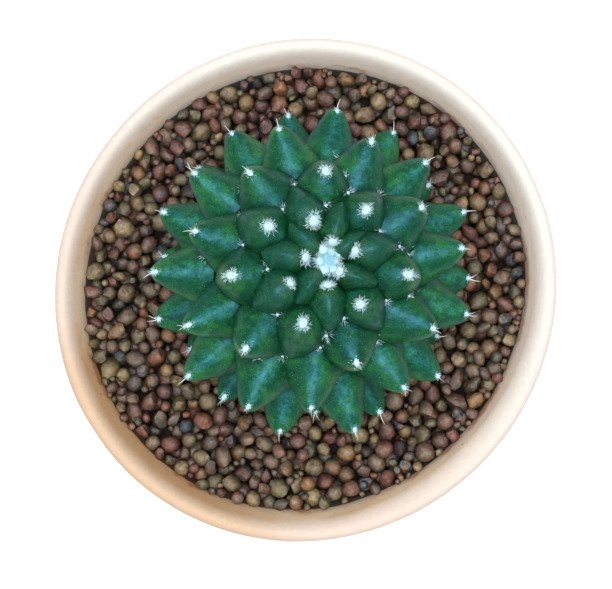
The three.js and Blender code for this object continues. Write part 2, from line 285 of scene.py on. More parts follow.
def store_values(piece: Object, name: str, values: np.ndarray) -> None:
    """Keeps a number or a colour for each point of a piece, for its material.

    Args:
        piece: The object.
        name: The attribute's name.
        values: One number a point, or one row of four for a colour.
    """
    kind, slot = ("FLOAT_COLOR", "color") if values.ndim == 2 else ("FLOAT", "value")
    attribute = piece.data.attributes.new(name, kind, "POINT")
    attribute.data.foreach_set(slot, values.astype(np.float32).ravel())


def frame_along(direction: Vector, point: Vector, spin: float, size: float) -> Matrix:
    """Works out a place with its +Z along a direction.

    Args:
        direction: Where +Z points.
        point: The place's origin.
        spin: Radians turned about the direction.
        size: Scale of what is placed.

    Returns:
        The place.
    """
    turn = UP.rotation_difference(direction.normalized()).to_matrix().to_4x4()
    spun = turn @ Matrix.Rotation(spin, 4, "Z")
    return Matrix.Translation(point) @ spun @ Matrix.Scale(size, 4)


# ---- material helpers


PLUS = {"operation": "ADD"}  # settings of a sum
LESS = {"operation": "SUBTRACT"}


def colour(code: str) -> tuple[float, float, float, float]:
    """Turns an sRGB hex colour to a linear one.

    Args:
        code: The colour, such as "f4e1cf".

    Returns:
        Its red, green, blue and alpha.
    """
    channels = [int(code[place:place + 2], 16) / 255 for place in (0, 2, 4)]
    linear = [c / 12.92 if c <= 0.04045 else ((c + 0.055) / 1.055) ** 2.4 for c in channels]
    return (linear[0], linear[1], linear[2], 1.0)


def metres(*lengths: float) -> tuple[float, ...]:
    """Turns lengths in millimetres to metres."""
    return tuple(length * MM for length in lengths)


class Paint:
    """A material in the making, with the steps that the finishes share."""

    def __init__(self, name: str) -> None:
        """Starts an empty material.

        Args:
            name: The material's name.
        """
        self.material = bpy.data.materials.new(name)
        self.material.use_nodes = True
        self.tree = self.material.node_tree
        self.tree.nodes.clear()
        self.place = self.add("TexCoord", output="Object")

    def add(self, kind: str, inputs: Any = (), output: int | str = 0, **settings: Any) -> Any:
        """Adds a node with its settings and links.

        Args:
            kind: The node's type without its "ShaderNode", such as "TexNoise".
            inputs: Its inputs in order, or a dict of them by name or number. Each is a value, a
                hex colour, or the output that feeds it.
            output: The output that is wanted, by name or number.
            settings: The node's own properties.

        Returns:
            That output, or None from a node that has none.
        """
        node = self.tree.nodes.new("ShaderNode" + kind)
        for name, value in settings.items():
            setattr(node, name, value)
        for socket, value in inputs.items() if isinstance(inputs, dict) else enumerate(inputs):
            if isinstance(value, NodeSocket):
                self.tree.links.new(value, node.inputs[socket])
            else:
                node.inputs[socket].default_value = colour(value) if isinstance(value, str) else value
        return node.outputs[output] if node.outputs else None

    def grain(self, size: float, detail: float = 3.0, roughness: float = 0.55) -> dict[str, Any]:
        """The inputs of a pattern that repeats about every so many millimetres."""
        return {"Vector": self.place, "Scale": 1 / (size * MM), "Detail": detail, "Roughness": roughness}

    def share(self, *factors: Any) -> Any:
        """Works out how much of something shows: the product of its factors.

        Args:
            factors: Each is a number, an output, or an output with its limits: the smooth change
                starts at the first, ends at the second, and goes from 0 to 1 or between two
                more numbers.

        Returns:
            The product, as a number or an output.
        """
        smooth = [
            self.add("MapRange", one, interpolation_type="SMOOTHSTEP") if isinstance(one, tuple) else one
            for one in factors
        ]
        return reduce(lambda first, second: self.add("Math", (first, second), operation="MULTIPLY"), smooth)

    def wash(self, base: Any, over: Any, *factors: Any) -> Any:
        """Lays one colour over another, as much of it as the product of some factors."""
        return self.add("Mix", {0: self.share(*factors), 6: base, 7: over}, 2, data_type="RGBA")

    def toned(self, base: Any, *factors: Any) -> Any:
        """Makes a colour lighter or darker by the product of some factors."""
        inputs = {0: 1.0, 6: base, 7: self.share(*factors)}
        return self.add("Mix", inputs, 2, data_type="RGBA", blend_type="MULTIPLY")

    def spots(self, spacing: float, radius: float) -> Any:
        """Scatters round dots with a soft edge.

        Args:
            spacing: Millimetres from dot to dot.
            radius: A dot's radius in millimetres.

        Returns:
            1 on a dot and 0 beside it.
        """
        hard_middle = 0.65
        edge = radius / spacing
        cells = self.add("TexVoronoi", self.grain(spacing, 0.0, 0.5))
        return self.share((cells, edge, edge * hard_middle))

    def finished(self, raised: tuple[Any, float, float] | None = None, **inputs: Any) -> Material:
        """Closes the material with a surface shader.

        Args:
            raised: A height map, the millimetres of its full range, and its strength.
            inputs: The shader's inputs, with underscores for the spaces in their names.

        Returns:
            The material.
        """
        if raised:
            height, relief, strength = raised
            bump = {"Height": height, "Distance": relief * MM, "Strength": strength}
            inputs["Normal"] = self.add("Bump", bump)
        named = {name.replace("_", " "): value for name, value in inputs.items()}
        self.add("OutputMaterial", {"Surface": self.add("BsdfPrincipled", named)})
        return self.material


# ---- finishes


@dataclass(frozen=True)
class PressedClay:
    """Unglazed, fine buff clay: matt, with pale lime bloom where it dries and tan where it is damp."""

    bloom: str = "e3ddd4"
    lip: str = "ddcabb"
    pale_wall: str = "f4e7da"
    tan_wall: str = "f4d9b8"
    deep_tan: str = "e2b88c"
    toasted: str = "cb9e70"
    toasted_lip: str = "d2b18e"
    outside: str = "d3b89c"
    outside_bloom: str = "dccaba"
    rust: str = "9a5028"
    speck: str = "3e2a22"
    # Painted shade of the gaps between the grains at the wall.
    gap_shade: str = "1d130e"
    # Where each thing starts and where it is full: along the warm side, or up the pot.
    warm_side: float = math.radians(228)
    warm_from: tuple[float, float] = (-55.0, 55.0)
    oven_from: tuple[float, float] = (43.0, 57.0)
    shade_line: tuple[float, float] = (73.3, 77.5)
    lip_line: float = 78.1
    lip_blend: float = 3.2
    ragged: float = 3.0
    wall_slope: float = 0.283
    wall_edge: tuple[float, float] = (38.2, 38.8)
    outside_line: tuple[float, float] = (80.6, 77.0)
    water_line: tuple[float, float] = (76.2, 74.8)
    gap_shade_line: tuple[float, float] = (73.6, 73.0)
    wander: float = 4.5

    def build(self) -> Material:
        """Makes the material.

        Returns:
            The material.
        """
        paint = Paint("pressed_buff_clay")
        add, share, wash = paint.add, paint.share, paint.wash
        x, y, height = add("SeparateXYZ", (paint.place,)).node.outputs
        across, sideways = share(x, math.cos(self.warm_side)), share(y, math.sin(self.warm_side))
        side = add("Math", (across, sideways), **PLUS)
        warmth = share((side, *metres(*self.warm_from)))
        cloud = add("TexNoise", paint.grain(13, 4))
        streak = add("TexNoise", paint.grain(4, 5, 0.6))
        # The inside: tan where it stays damp, paler and greyer on the side that dries first.
        damp = wash(self.tan_wall, self.deep_tan, (cloud, 0.35, 0.70))
        dry = wash(self.pale_wall, self.tan_wall, (streak, 0.35, 0.75, 0.0, 0.45))
        # Painted shade: the inner wall is darker towards the grains, down to three quarters of its tone.
        wall = paint.toned(wash(dry, damp, warmth), (height, *metres(*self.shade_line), 0.74, 1.0))
        # The side that the kiln's fire reached is toasted, its lip a little less.
        oven = share((side, *metres(*self.oven_from)))
        wall = wash(wall, self.toasted, oven, 0.85)
        lip = wash(wash(self.bloom, self.lip, warmth), self.toasted_lip, oven, 0.75)
        ragged = share(add("Math", (streak, 0.5), **LESS), self.ragged * MM)
        level = add("Math", (add("Math", (height, ragged), **PLUS), self.lip_line * MM), **LESS)
        base = wash(wall, lip, (level, 0.0, self.lip_blend * MM))
        # The outside below the lip, with clouds of bloom.
        radius = add("VectorMath", (add("CombineXYZ", (x, y)),), "Value", operation="LENGTH")
        from_middle = add("Math", (radius, share(height, self.wall_slope)), **LESS)
        outer = share((from_middle, *metres(*self.wall_edge)))
        outside = wash(self.outside, self.outside_bloom, (cloud, 0.35, 0.75), 0.7)
        base = wash(base, outside, outer, (height, *metres(*self.outside_line)))
        # Rusty spots in a broken line where water stands at the top of the grains.
        inner = add("Math", (1.0, outer), **LESS)
        curl = add("TexNoise", paint.grain(3.2, 4, 0.7))
        wander = share(add("Math", (curl, 0.5), **LESS), self.wander * MM)
        water = add("Math", (height, wander), **PLUS)
        tide = share((water, *metres(*self.water_line)), (cloud, 0.50, 0.62), inner)
        base = wash(base, self.rust, tide, 0.6)
        # Painted shade: near-black on the wall just above and between the grains, as in the shadowed gaps
        # between them.
        gap_level = add("Math", (height, share(wander, 0.25)), **PLUS)
        base = wash(base, self.gap_shade, (gap_level, *metres(*self.gap_shade_line)), inner, 0.88)
        # Mineral specks, in loose groups, and the fine unevenness of the clay.
        groups = add("TexNoise", paint.grain(9, 2))
        base = wash(base, self.speck, paint.spots(4.5, 0.32), (groups, 0.50, 0.58), 0.75)
        base = paint.toned(base, (add("TexNoise", paint.grain(1.2, 5, 0.65)), 0.25, 0.8, 0.93, 1.03))
        coarse = share(add("TexNoise", paint.grain(3.5, 3)), 0.8)
        grit = add("Math", (add("TexNoise", paint.grain(0.5, 6, 0.7)), coarse), **PLUS)
        return paint.finished((grit, 0.14, 0.6), Base_Color=base, Roughness=0.88, Specular_IOR_Level=0.25)


@dataclass(frozen=True)
class DampCompost:
    """Peat and fine bark, damp: dark brown crumbs with paler fibres."""

    peat: str = "130d09"
    bark: str = "33241a"

    def build(self) -> Material:
        """Makes the material.

        Returns:
            The material.
        """
        paint = Paint("damp_compost")
        crumbs = paint.add("TexNoise", paint.grain(1.6, 6, 0.7))
        base = paint.wash(self.peat, self.bark, (crumbs, 0.4, 0.75))
        return paint.finished((crumbs, 0.6, 1.0), Base_Color=base, Roughness=0.95)


@dataclass(frozen=True)
class BakedGrains:
    """Baked clay and lava grains: each its own earth colour, worn smooth with a dull gloss."""

    dust: str = "b3a38c"
    pit: str = "1c1410"

    def build(self) -> Material:
        """Makes the material.

        Returns:
            The material.
        """
        paint = Paint("baked_clay_grains")
        add, share, wash = paint.add, paint.share, paint.wash
        up = add("Attribute", output="Fac", attribute_name="grain_light_and_shade")
        own, second = (add("Attribute", attribute_name=name) for name in ("grain_colour", "grain_patch"))
        mottle = add("TexNoise", paint.grain(1.2, 5, 0.65))
        base = wash(own, second, (add("TexNoise", paint.grain(2.2, 5, 0.65)), 0.47, 0.57), 0.8)
        base = paint.toned(base, (mottle, 0.38, 0.64, 0.70, 1.25))
        base = wash(base, self.dust, (add("TexNoise", paint.grain(0.8, 4, 0.7)), 0.54, 0.66), 0.15)
        # Painted light and shade: each grain is lighter on top and darker down its sides, and the deeper
        # grains are darker.
        base = paint.toned(base, (up, 0.0, 0.90, 0.42, 1.14))
        pits = share(paint.spots(0.9, 0.16), (mottle, 0.45, 0.6))
        base = wash(base, self.pit, pits, 0.7)
        relief = add("Math", (add("TexNoise", paint.grain(0.7, 5, 0.65)), share(pits, 0.6)), **LESS)
        gloss = share((mottle, 0.40, 0.60, 0.34, 0.46))
        return paint.finished((relief, 0.40, 0.9), Base_Color=base, Roughness=gloss, Specular_IOR_Level=1.0)


@dataclass(frozen=True)
class WaxySkin:
    """Living cactus skin under a thin wax: deep green, speckled, with a soft cool gloss."""

    deep: str = "084416"
    cool: str = "064222"
    fresh: str = "266518"
    olive: str = "5c7030"
    haze: str = "20503a"
    # Partly real wax bloom, partly painted highlight along the keel.
    bloom: str = "3a868e"
    fleck: str = "9fd0b4"
    # Painted shade in the valleys between the tubercles.
    valley: str = "073216"
    gloss: str = "7ec8fa"
    # What CactusSkin.mark keeps for each point.
    kept: tuple[str, ...] = ("tip_share", "keel", "crease", "own_tint", "age")

    def build(self) -> Material:
        """Makes the material.

        Returns:
            The material.
        """
        paint = Paint("waxy_cactus_skin")
        add, share, wash = paint.add, paint.share, paint.wash
        tip, keel, crease, tint, age = (
            add("Attribute", output="Fac", attribute_name=name) for name in self.kept
        )
        # Each tubercle leans to one of two greens, in clouds, with fresher patches.
        youth = share((age, 0.55, 0.15, 0.0, 0.12))
        green = add("Math", (add("TexNoise", paint.grain(9, 3)), youth), **PLUS)
        green = add("Math", (green, share(tint, 0.35)), **PLUS)
        base = wash(self.deep, self.cool, (green, 0.42, 0.85))
        patches = (add("TexNoise", paint.grain(6, 3)), 0.42, 0.68)
        base = wash(base, self.fresh, patches, (age, 0.2, 0.6, 0.2, 0.55))
        # Below the keel: yellower green on the old ones, a grey haze of wax on the young.
        flank = wash(self.haze, self.fresh, (age, 0.35, 0.65))
        base = wash(base, flank, (keel, -0.15, -0.75), 0.35)
        base = wash(base, self.olive, (tip, 0.70, 0.98), (keel, 0.3, -0.4), (age, 0.3, 0.7, 0.12, 0.26))
        # Partly real wax bloom, partly painted highlight: pale blue-green in patches along the keel. Then
        # painted shade in the valleys between the tubercles.
        patches = (add("TexNoise", paint.grain(1.8, 5)), 0.36, 0.62)
        base = wash(base, self.bloom, (keel, 0.86, 1.0), patches, (age, 0.3, 0.8, 0.15, 0.24))
        base = wash(base, self.valley, crease, 0.95)
        # Stomata and wax flecks, drawn a little larger than they are so that they show.
        small_flecks = share(paint.spots(0.38, 0.08), 0.8)
        flecks = add("Math", (paint.spots(0.75, 0.10), small_flecks), operation="MAXIMUM")
        flecks = share(flecks, (add("TexNoise", paint.grain(4, 4, 0.7)), 0.36, 0.66, 0.25, 1.0))
        base = wash(base, self.fleck, flecks, 0.38)
        fine = share(add("TexNoise", paint.grain(0.45, 3)), 0.6)
        tone = add("Math", (add("TexNoise", paint.grain(1.6, 5, 0.65)), fine), **PLUS)
        base = paint.toned(base, (tone, 0.66, 0.94, 0.72, 1.26), (age, 0.65, 0.95, 0.95, 1.20))
        relief = add("Math", (add("TexNoise", paint.grain(0.9, 5, 0.6)), share(flecks, 0.4)), **PLUS)
        return paint.finished(
            (relief, 0.16, 0.8),
            Base_Color=base,
            Roughness=share((add("TexNoise", paint.grain(2, 4)), 0.3, 0.7, 0.38, 0.50)),
            Specular_Tint=self.gloss,
            Specular_IOR_Level=0.66,
        )


@dataclass(frozen=True)
class FeltedWool:
    """Fine white plant wool, felted: matt and bright, with painted shade, bluer and darker, where its shade
    is low.
    """

    wool: str = "c4e6ec"
    depth: str = "72b0c2"

    def build(self) -> Material:
        """Makes the material.

        Returns:
            The material.
        """
        paint = Paint("felted_plant_wool")
        shade = paint.add("Attribute", output="Fac", attribute_name="shade")
        # Painted shade: the depth colour shows where the shade attribute is low.
        base = paint.wash(self.depth, self.wool, (shade, 0.0, 1.0))
        return paint.finished(Base_Color=base, Roughness=0.9, Sheen_Weight=0.4, Specular_IOR_Level=0.2)


@dataclass(frozen=True)
class SpineHorn:
    """Young spines: white, slightly glassy horn that turns straw brown at the very point."""

    shaft: str = "f3f4ee"
    point: str = "b98c5e"

    def build(self) -> Material:
        """Makes the material.

        Returns:
            The material.
        """
        paint = Paint("spine_horn")
        along = paint.add("Attribute", output="Fac", attribute_name="along")
        base = paint.wash(self.shaft, self.point, (along, 0.72, 1.0))
        return paint.finished(Base_Color=base, Roughness=0.45)


@dataclass(frozen=True)
class PaleFloor:
    """The plain white floor that the pot stands on."""

    white: str = "ffffff"

    def build(self) -> Material:
        """Makes the material."""
        return Paint("pale_floor").finished(Base_Color=self.white, Roughness=0.9, Specular_IOR_Level=0.0)


# ---- pot


@dataclass
class ClayPot:
    """The pot: one turned wall, slightly out of round, with a soft lip."""

    height: float = 82.0
    rim_radius: float = 63.2
    foot_radius: float = 41.0
    foot_edge: float = 1.6
    foot_margin: float = 1.5
    foot_ring: float = 20.0
    bulge: float = 1.5
    lip_width: float = 4.2
    lip_rise: float = 3.0
    lip_foot: float = 78.4
    lip_flat: float = 1.5
    lip_steep: float = 1.2
    floor: float = 7.0
    floor_round: float = 3.0
    bed_height: float = 73.0
    bed_radius: float = 56.3
    flare: float = 0.35
    taper: float = 0.286
    drain_radius: float = 6.0
    drain_edge: float = 0.6
    oval: float = 0.0148
    oval_azimuth: float = math.radians(48)
    thick_side: float = math.radians(315)
    thickening: float = 1.65
    thick_from: float = 66.5
    wave_size: float = 11.0
    wave_relief: float = 0.3
    sides: int = 192
    wall_steps: int = 22
    lip_steps: int = 14
    foot_degrees: tuple[int, ...] = (0, 30, 60, 90)
    lip_degrees: range = range(10, 91, 10)
    floor_cut: float = 0.3  # of the floor's rounding
    inner_margin: float = 1.0
    thick_power: int = 4
    soft_edge: float = 40.0  # degrees: edges up to this are shaded smooth

    @property
    def shoulder(self) -> float:
        """Height at which the lip begins."""
        return self.height - self.lip_rise

    @property
    def crest(self) -> float:
        """Radius of the lip's highest line."""
        return self.rim_radius - self.lip_width / 2

    def outer_radius(self, height: float) -> float:
        """Works out the wall's outer radius.

        Args:
            height: Up the wall.

        Returns:
            The radius there.
        """
        share = height / self.shoulder
        straight = self.foot_radius + (self.rim_radius - self.foot_radius) * share
        return straight + self.bulge * math.sin(math.pi * share)

    def inner_radius(self, height: float) -> float:
        """The wall's inner radius at a height."""
        slope = self.flare if height > self.bed_height else self.taper
        return self.bed_radius + (height - self.bed_height) * slope

    def extra_thickness(self, azimuth: np.ndarray, height: np.ndarray) -> np.ndarray:
        """Works out how far the inner wall stands in on the pot's thick side.

        Args:
            azimuth: Round the pot, in radians.
            height: Up the wall.

        Returns:
            The extra thickness there.
        """
        lobe = np.clip(np.cos(azimuth - self.thick_side), 0, None) ** self.thick_power
        rise = np.clip((height - self.thick_from) / (self.bed_height - self.thick_from), 0, 1)
        return self.thickening * lobe * rise

    def oval_matrix(self) -> Matrix:
        """The slight stretch of the pressed clay, and of all that fills it."""
        turn = Matrix.Rotation(self.oval_azimuth, 4, "Z")
        return turn @ Matrix.Diagonal((1 + self.oval, 1 - self.oval, 1.0, 1.0)) @ turn.inverted()

    def rings(self) -> list[Ring]:
        """Draws the wall's section.

        Returns:
            Its rings, from the drain hole out, up, over the lip and back to the first.
        """
        edge, bevel, drain = self.foot_edge, self.drain_edge, self.drain_radius
        rings = [Ring(drain, bevel), Ring(drain + bevel, 0.0), Ring(self.foot_ring, 0.0)]
        rings.append(Ring(self.foot_radius - edge - self.foot_margin, 0.0))
        for angle in np.radians(self.foot_degrees).tolist():
            out = self.outer_radius(edge) - edge + edge * math.sin(angle)
            rings.append(Ring(out, edge * (1 - math.cos(angle))))
        wall = np.linspace(edge, self.shoulder, self.wall_steps)[1:].tolist()
        rings += [Ring(self.outer_radius(z), z) for z in wall]
        for angle in np.radians(self.lip_degrees).tolist():
            out = self.crest + self.lip_width / 2 * math.cos(angle)
            rings.append(Ring(out, self.shoulder + self.lip_rise * math.sin(angle)))
        rings += self.lip_inside()
        bottom = self.floor + self.floor_round
        wall = np.linspace(self.lip_foot, bottom, self.wall_steps)[1:].tolist()
        rings += [Ring(self.inner_radius(z), z) for z in wall]
        foot, cut = self.inner_radius(self.floor), self.floor_round * self.floor_cut
        rings += [Ring(foot - cut, self.floor + cut), Ring(foot - self.floor_round, self.floor)]
        rings += [Ring(drain + bevel, self.floor), Ring(drain, self.floor - bevel), rings[0]]
        return rings

    def lip_inside(self) -> list[Ring]:
        """Draws the soft turn from the lip's crest to the flare of the inner wall.

        Returns:
            The rings of the turn, from the crest down.
        """
        crest = Vector((self.crest, self.height))
        foot = Vector((self.inner_radius(self.lip_foot), self.lip_foot))
        above = crest - Vector((self.lip_flat, 0.0))
        below = foot + Vector((self.flare * self.lip_steep, self.lip_steep))
        rings = []
        for share in np.linspace(0, 1, self.lip_steps)[1:].tolist():
            back = 1 - share
            middle = above * 3 * back**2 * share + below * 3 * back * share**2
            point = crest * back**3 + middle + foot * share**3
            rings.append(Ring(point.x, point.y))
        return rings

    def build(self, finish: Material) -> Object:
        """Models the pot and dresses it.

        Args:
            finish: The clay.

        Returns:
            The pot's object.
        """
        pot = stack_rings("clay_pot", self.sides, self.rings(), closed_loop=True)
        self.thicken(pot)
        pot.data.transform(self.oval_matrix())
        # The faint unevenness of a hand-pressed wall, but not under the foot.
        group = pot.vertex_groups.new(name="wall")
        above = [v.index for v in pot.data.vertices if v.co.z > self.foot_edge * MM * 2]
        group.add(above, 1.0, "REPLACE")
        ruffle(pot, "pressing_marks", self.wave_size, self.wave_relief, "wall")
        shade_by_angle(pot, self.soft_edge)
        pot.data.materials.append(finish)
        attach(pot, "root")
        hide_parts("pot")
        return pot

    def thicken(self, pot: Object) -> None:
        """Moves the inner wall in on the thick side, and less and less over the lip.

        Args:
            pot: The pot, still round.
        """
        foot = self.inner_radius(self.lip_foot)
        inner_face = foot + self.inner_margin
        for vertex in pot.data.vertices:
            x, y, height = vertex.co / MM
            radius = math.hypot(x, y)
            if radius > (self.crest if height > self.lip_foot else inner_face):
                continue
            share = min((self.crest - radius) / (self.crest - foot), 1.0)
            share *= share * (3 - 2 * share)
            moved = radius - share * float(self.extra_thickness(math.atan2(y, x), height))
            vertex.co.x *= moved / radius
            vertex.co.y *= moved / radius


# ---- the plant's form


class Zone(Enum):
    """Where on the plant a tubercle stands."""

    SPROUT = "under the crown's wool"
    YOUNG = "with wool only"
    SPINED = "with wool and spines"


@dataclass
class Tubercle:
    """One tubercle's place and shape."""

    number: int
    zone: Zone
    tip: Vector
    root: Vector
    elbow: Vector
    sideways: Vector
    root_spacing: float
    age: float

    @property
    def direction(self) -> Vector:
        """Where the tip points."""
        return (self.tip - self.elbow).normalized()

    def axis(self, share: np.ndarray) -> tuple[np.ndarray, np.ndarray]:
        """Follows the bent axis.

        Args:
            share: Shares of the way from root to tip, or less than 0 below the root.

        Returns:
            The axis's points there, and its directions as unit rows.
        """
        root, elbow, tip = (np.array(point) for point in (self.root, self.elbow, self.tip))
        up = np.clip(share, 0, 1)[:, None]
        curve = (1 - up) ** 2 * root + 2 * up * (1 - up) * elbow + up**2 * tip
        below = np.minimum(share, 0)[:, None] * 2 * (elbow - root)
        slope = 2 * (1 - up) * (elbow - root) + 2 * up * (tip - elbow)
        return curve + below, slope / np.linalg.norm(slope, axis=1)[:, None]


@dataclass
class CactusForm:
    """The plant's spiral and the shape of its body: where everything on it goes."""

    origin: Vector = field(default_factory=lambda: Vector((-1.33, 2.52, 73.0)))
    lean: float = math.radians(10.1)
    lean_azimuth: float = math.radians(30.7)
    core_radius: float = 27.0
    core_middle: float = 22.0
    core_rise: float = 23.0
    core_drop: float = 28.0
    neck_depth: float = 8.0
    neck_radius: float = 14.0
    shoulder_depth: float = 25.0
    shoulder_radius: float = 8.0
    taper_depth: float = 37.0
    taper_radius: float = 4.6
    root_depth: float = 45.0
    root_tip_radius: float = 2.0
    youngest: int = -3
    oldest: int = 60
    start: float = math.radians(335)
    divergence: float = math.radians(99.58)
    step: float = 2.695
    offset: float = 0.749
    power: float = 0.9685
    tip_radius: float = 40.2
    tip_middle: float = 23.5
    tip_rise: float = 28.0
    dimple: float = 3.0
    dimple_spread: float = 15.0
    lowest_tip: float = 5.0
    inward_lean: float = 18.0
    lean_spread: float = 35.0
    sprout_tip: float = 4.0
    sprout_step: float = 1.4
    old_angle: float = 60.0
    first_spined: int = 14
    old_bend: float = 0.22
    bend_reach: float = 0.55
    # How far the tips that stand off the even spiral are shifted, to +X and to +Y.
    shifts: dict[int, tuple[float, float]] = field(default_factory=lambda: {
        0: (1.6, -2.0), 1: (0.5, 1.0), 3: (-0.4, 0.8), 4: (-1.8, 0.1), 5: (0.8, -0.4),
        6: (1.2, 0.8), 7: (-1.2, -0.5), 9: (0.8, -0.3), 10: (0.3, 2.2), 14: (-0.6, -1.3),
        15: (1.0, 0.9), 16: (-1.2, -0.1), 18: (1.6, 0.0), 19: (0.0, 1.4), 21: (-0.7, -2.1),
        22: (1.1, 0.7), 23: (-1.0, -0.5), 32: (1.4, -0.4), 34: (0.2, -1.3), 38: (1.0, -0.2),
        49: (-0.7, 1.2), 53: (-2.2, -1.4),
    })

    def frame(self) -> Matrix:
        """The plant's own frame: its origin at the neck, its axis leaning."""
        axis = Vector((-math.sin(self.lean_azimuth), math.cos(self.lean_azimuth), 0.0))
        return Matrix.Translation(self.origin) @ Matrix.Rotation(self.lean, 4, axis)

    def core_section(self, angle: float) -> tuple[float, float]:
        """Radius and height of the body's skin at an angle down from the crown."""
        half = self.core_rise if angle < math.pi / 2 else self.core_drop
        return self.core_radius * math.sin(angle), self.core_middle + half * math.cos(angle)

    def tip_angle(self, number: int) -> float:
        """Degrees from the crown to a tubercle's tip."""
        return self.sprout_tip if number < 0 else self.step * (number + self.offset) ** self.power

    def root_angle(self, number: int) -> float:
        """Works out where a tubercle's root stands, which lies outside a young tip.

        Args:
            number: The tubercle's number on the spiral.

        Returns:
            Degrees from the crown.
        """
        if number < 0:
            return self.root_angle(0) + number * self.sprout_step
        tip = self.tip_angle(number)
        return tip + self.inward_lean * math.exp(-tip / self.lean_spread)

    def zone(self, number: int) -> Zone:
        """Where on the plant a tubercle stands, by its number."""
        grown = Zone.SPINED if number >= self.first_spined else Zone.YOUNG
        return Zone.SPROUT if number < 0 else grown

    def tubercle(self, number: int) -> Tubercle:
        """Works out one tubercle's place and shape.

        Args:
            number: Its number on the spiral, from the youngest.

        Returns:
            The tubercle.
        """
        frame = self.frame()
        azimuth = self.start + number * self.divergence
        degrees = self.tip_angle(number)
        angle = math.radians(degrees)
        dimple = self.dimple * math.exp(-((degrees / self.dimple_spread) ** 2))
        outward = Vector((math.cos(azimuth), math.sin(azimuth), 0.0))
        height = self.tip_middle + self.tip_rise * math.cos(angle) - dimple
        tip = frame @ (outward * self.tip_radius * math.sin(angle) + UP * height)
        tip += Vector((*self.shifts.get(number, (0.0, 0.0)), 0.0))
        tilt, next_tilt = (math.radians(self.root_angle(one)) for one in (number, number + 1))
        radius, height = self.core_section(tilt)
        root = frame @ (outward * radius + UP * height)
        normal = (root - frame @ (UP * self.core_middle)).normalized()
        area = 2 * math.pi * radius * self.core_radius * (next_tilt - tilt)
        age = min(degrees / self.old_angle, 1.0)
        bent = root + normal * (tip - root).length * self.bend_reach
        axis = (tip - root).normalized()
        sideways = frame.to_3x3() @ Vector((-math.sin(azimuth), math.cos(azimuth), 0.0))
        return Tubercle(
            number=number,
            zone=self.zone(number),
            tip=tip,
            root=root,
            elbow=((root + tip) / 2).lerp(bent, self.old_bend * age),
            sideways=(sideways - axis * sideways.dot(axis)).normalized(),
            root_spacing=math.sqrt(area),
            age=age,
        )

    def tubercles(self) -> list[Tubercle]:
        """All tubercles, the youngest first, without the lowest, which have withered."""
        every = [self.tubercle(number) for number in range(self.youngest, self.oldest + 1)]
        return [one for one in every if one.tip.z > self.origin.z + self.lowest_tip]


# ---- the plant's skin


@dataclass(frozen=True)
class Figure:
    """A tubercle's section at one age, and how it changes on its way to the tip.

    The width at the root is base over the spacing. Towards the tip it grows by spread, and it
    closes as fall and rounding say. The section is a superellipse with one power and reach on
    the side of the crown and others on the outer side.
    """

    age: float
    base: float
    spread: float
    fall: float
    rounding: float
    crown_power: float
    outer_power: float
    crown_reach: float
    outer_reach: float

    def mixed(self, other: Figure, age: float) -> Figure:
        """Works out a figure between this one and an older one.

        Args:
            other: The older figure.
            age: The age that is wanted.

        Returns:
            The figure at that age.
        """
        share = min(max((age - self.age) / (other.age - self.age), 0.0), 1.0)
        return Figure(*(
            own + (theirs - own) * share for own, theirs in zip(astuple(self), astuple(other))
        ))

    def width(self, share: np.ndarray) -> np.ndarray:
        """Width at a share of the way to the tip, over the width at the root."""
        up = np.clip(share, 0, 1)
        return (1 + self.spread * up) * (1 - up**self.fall) ** self.rounding


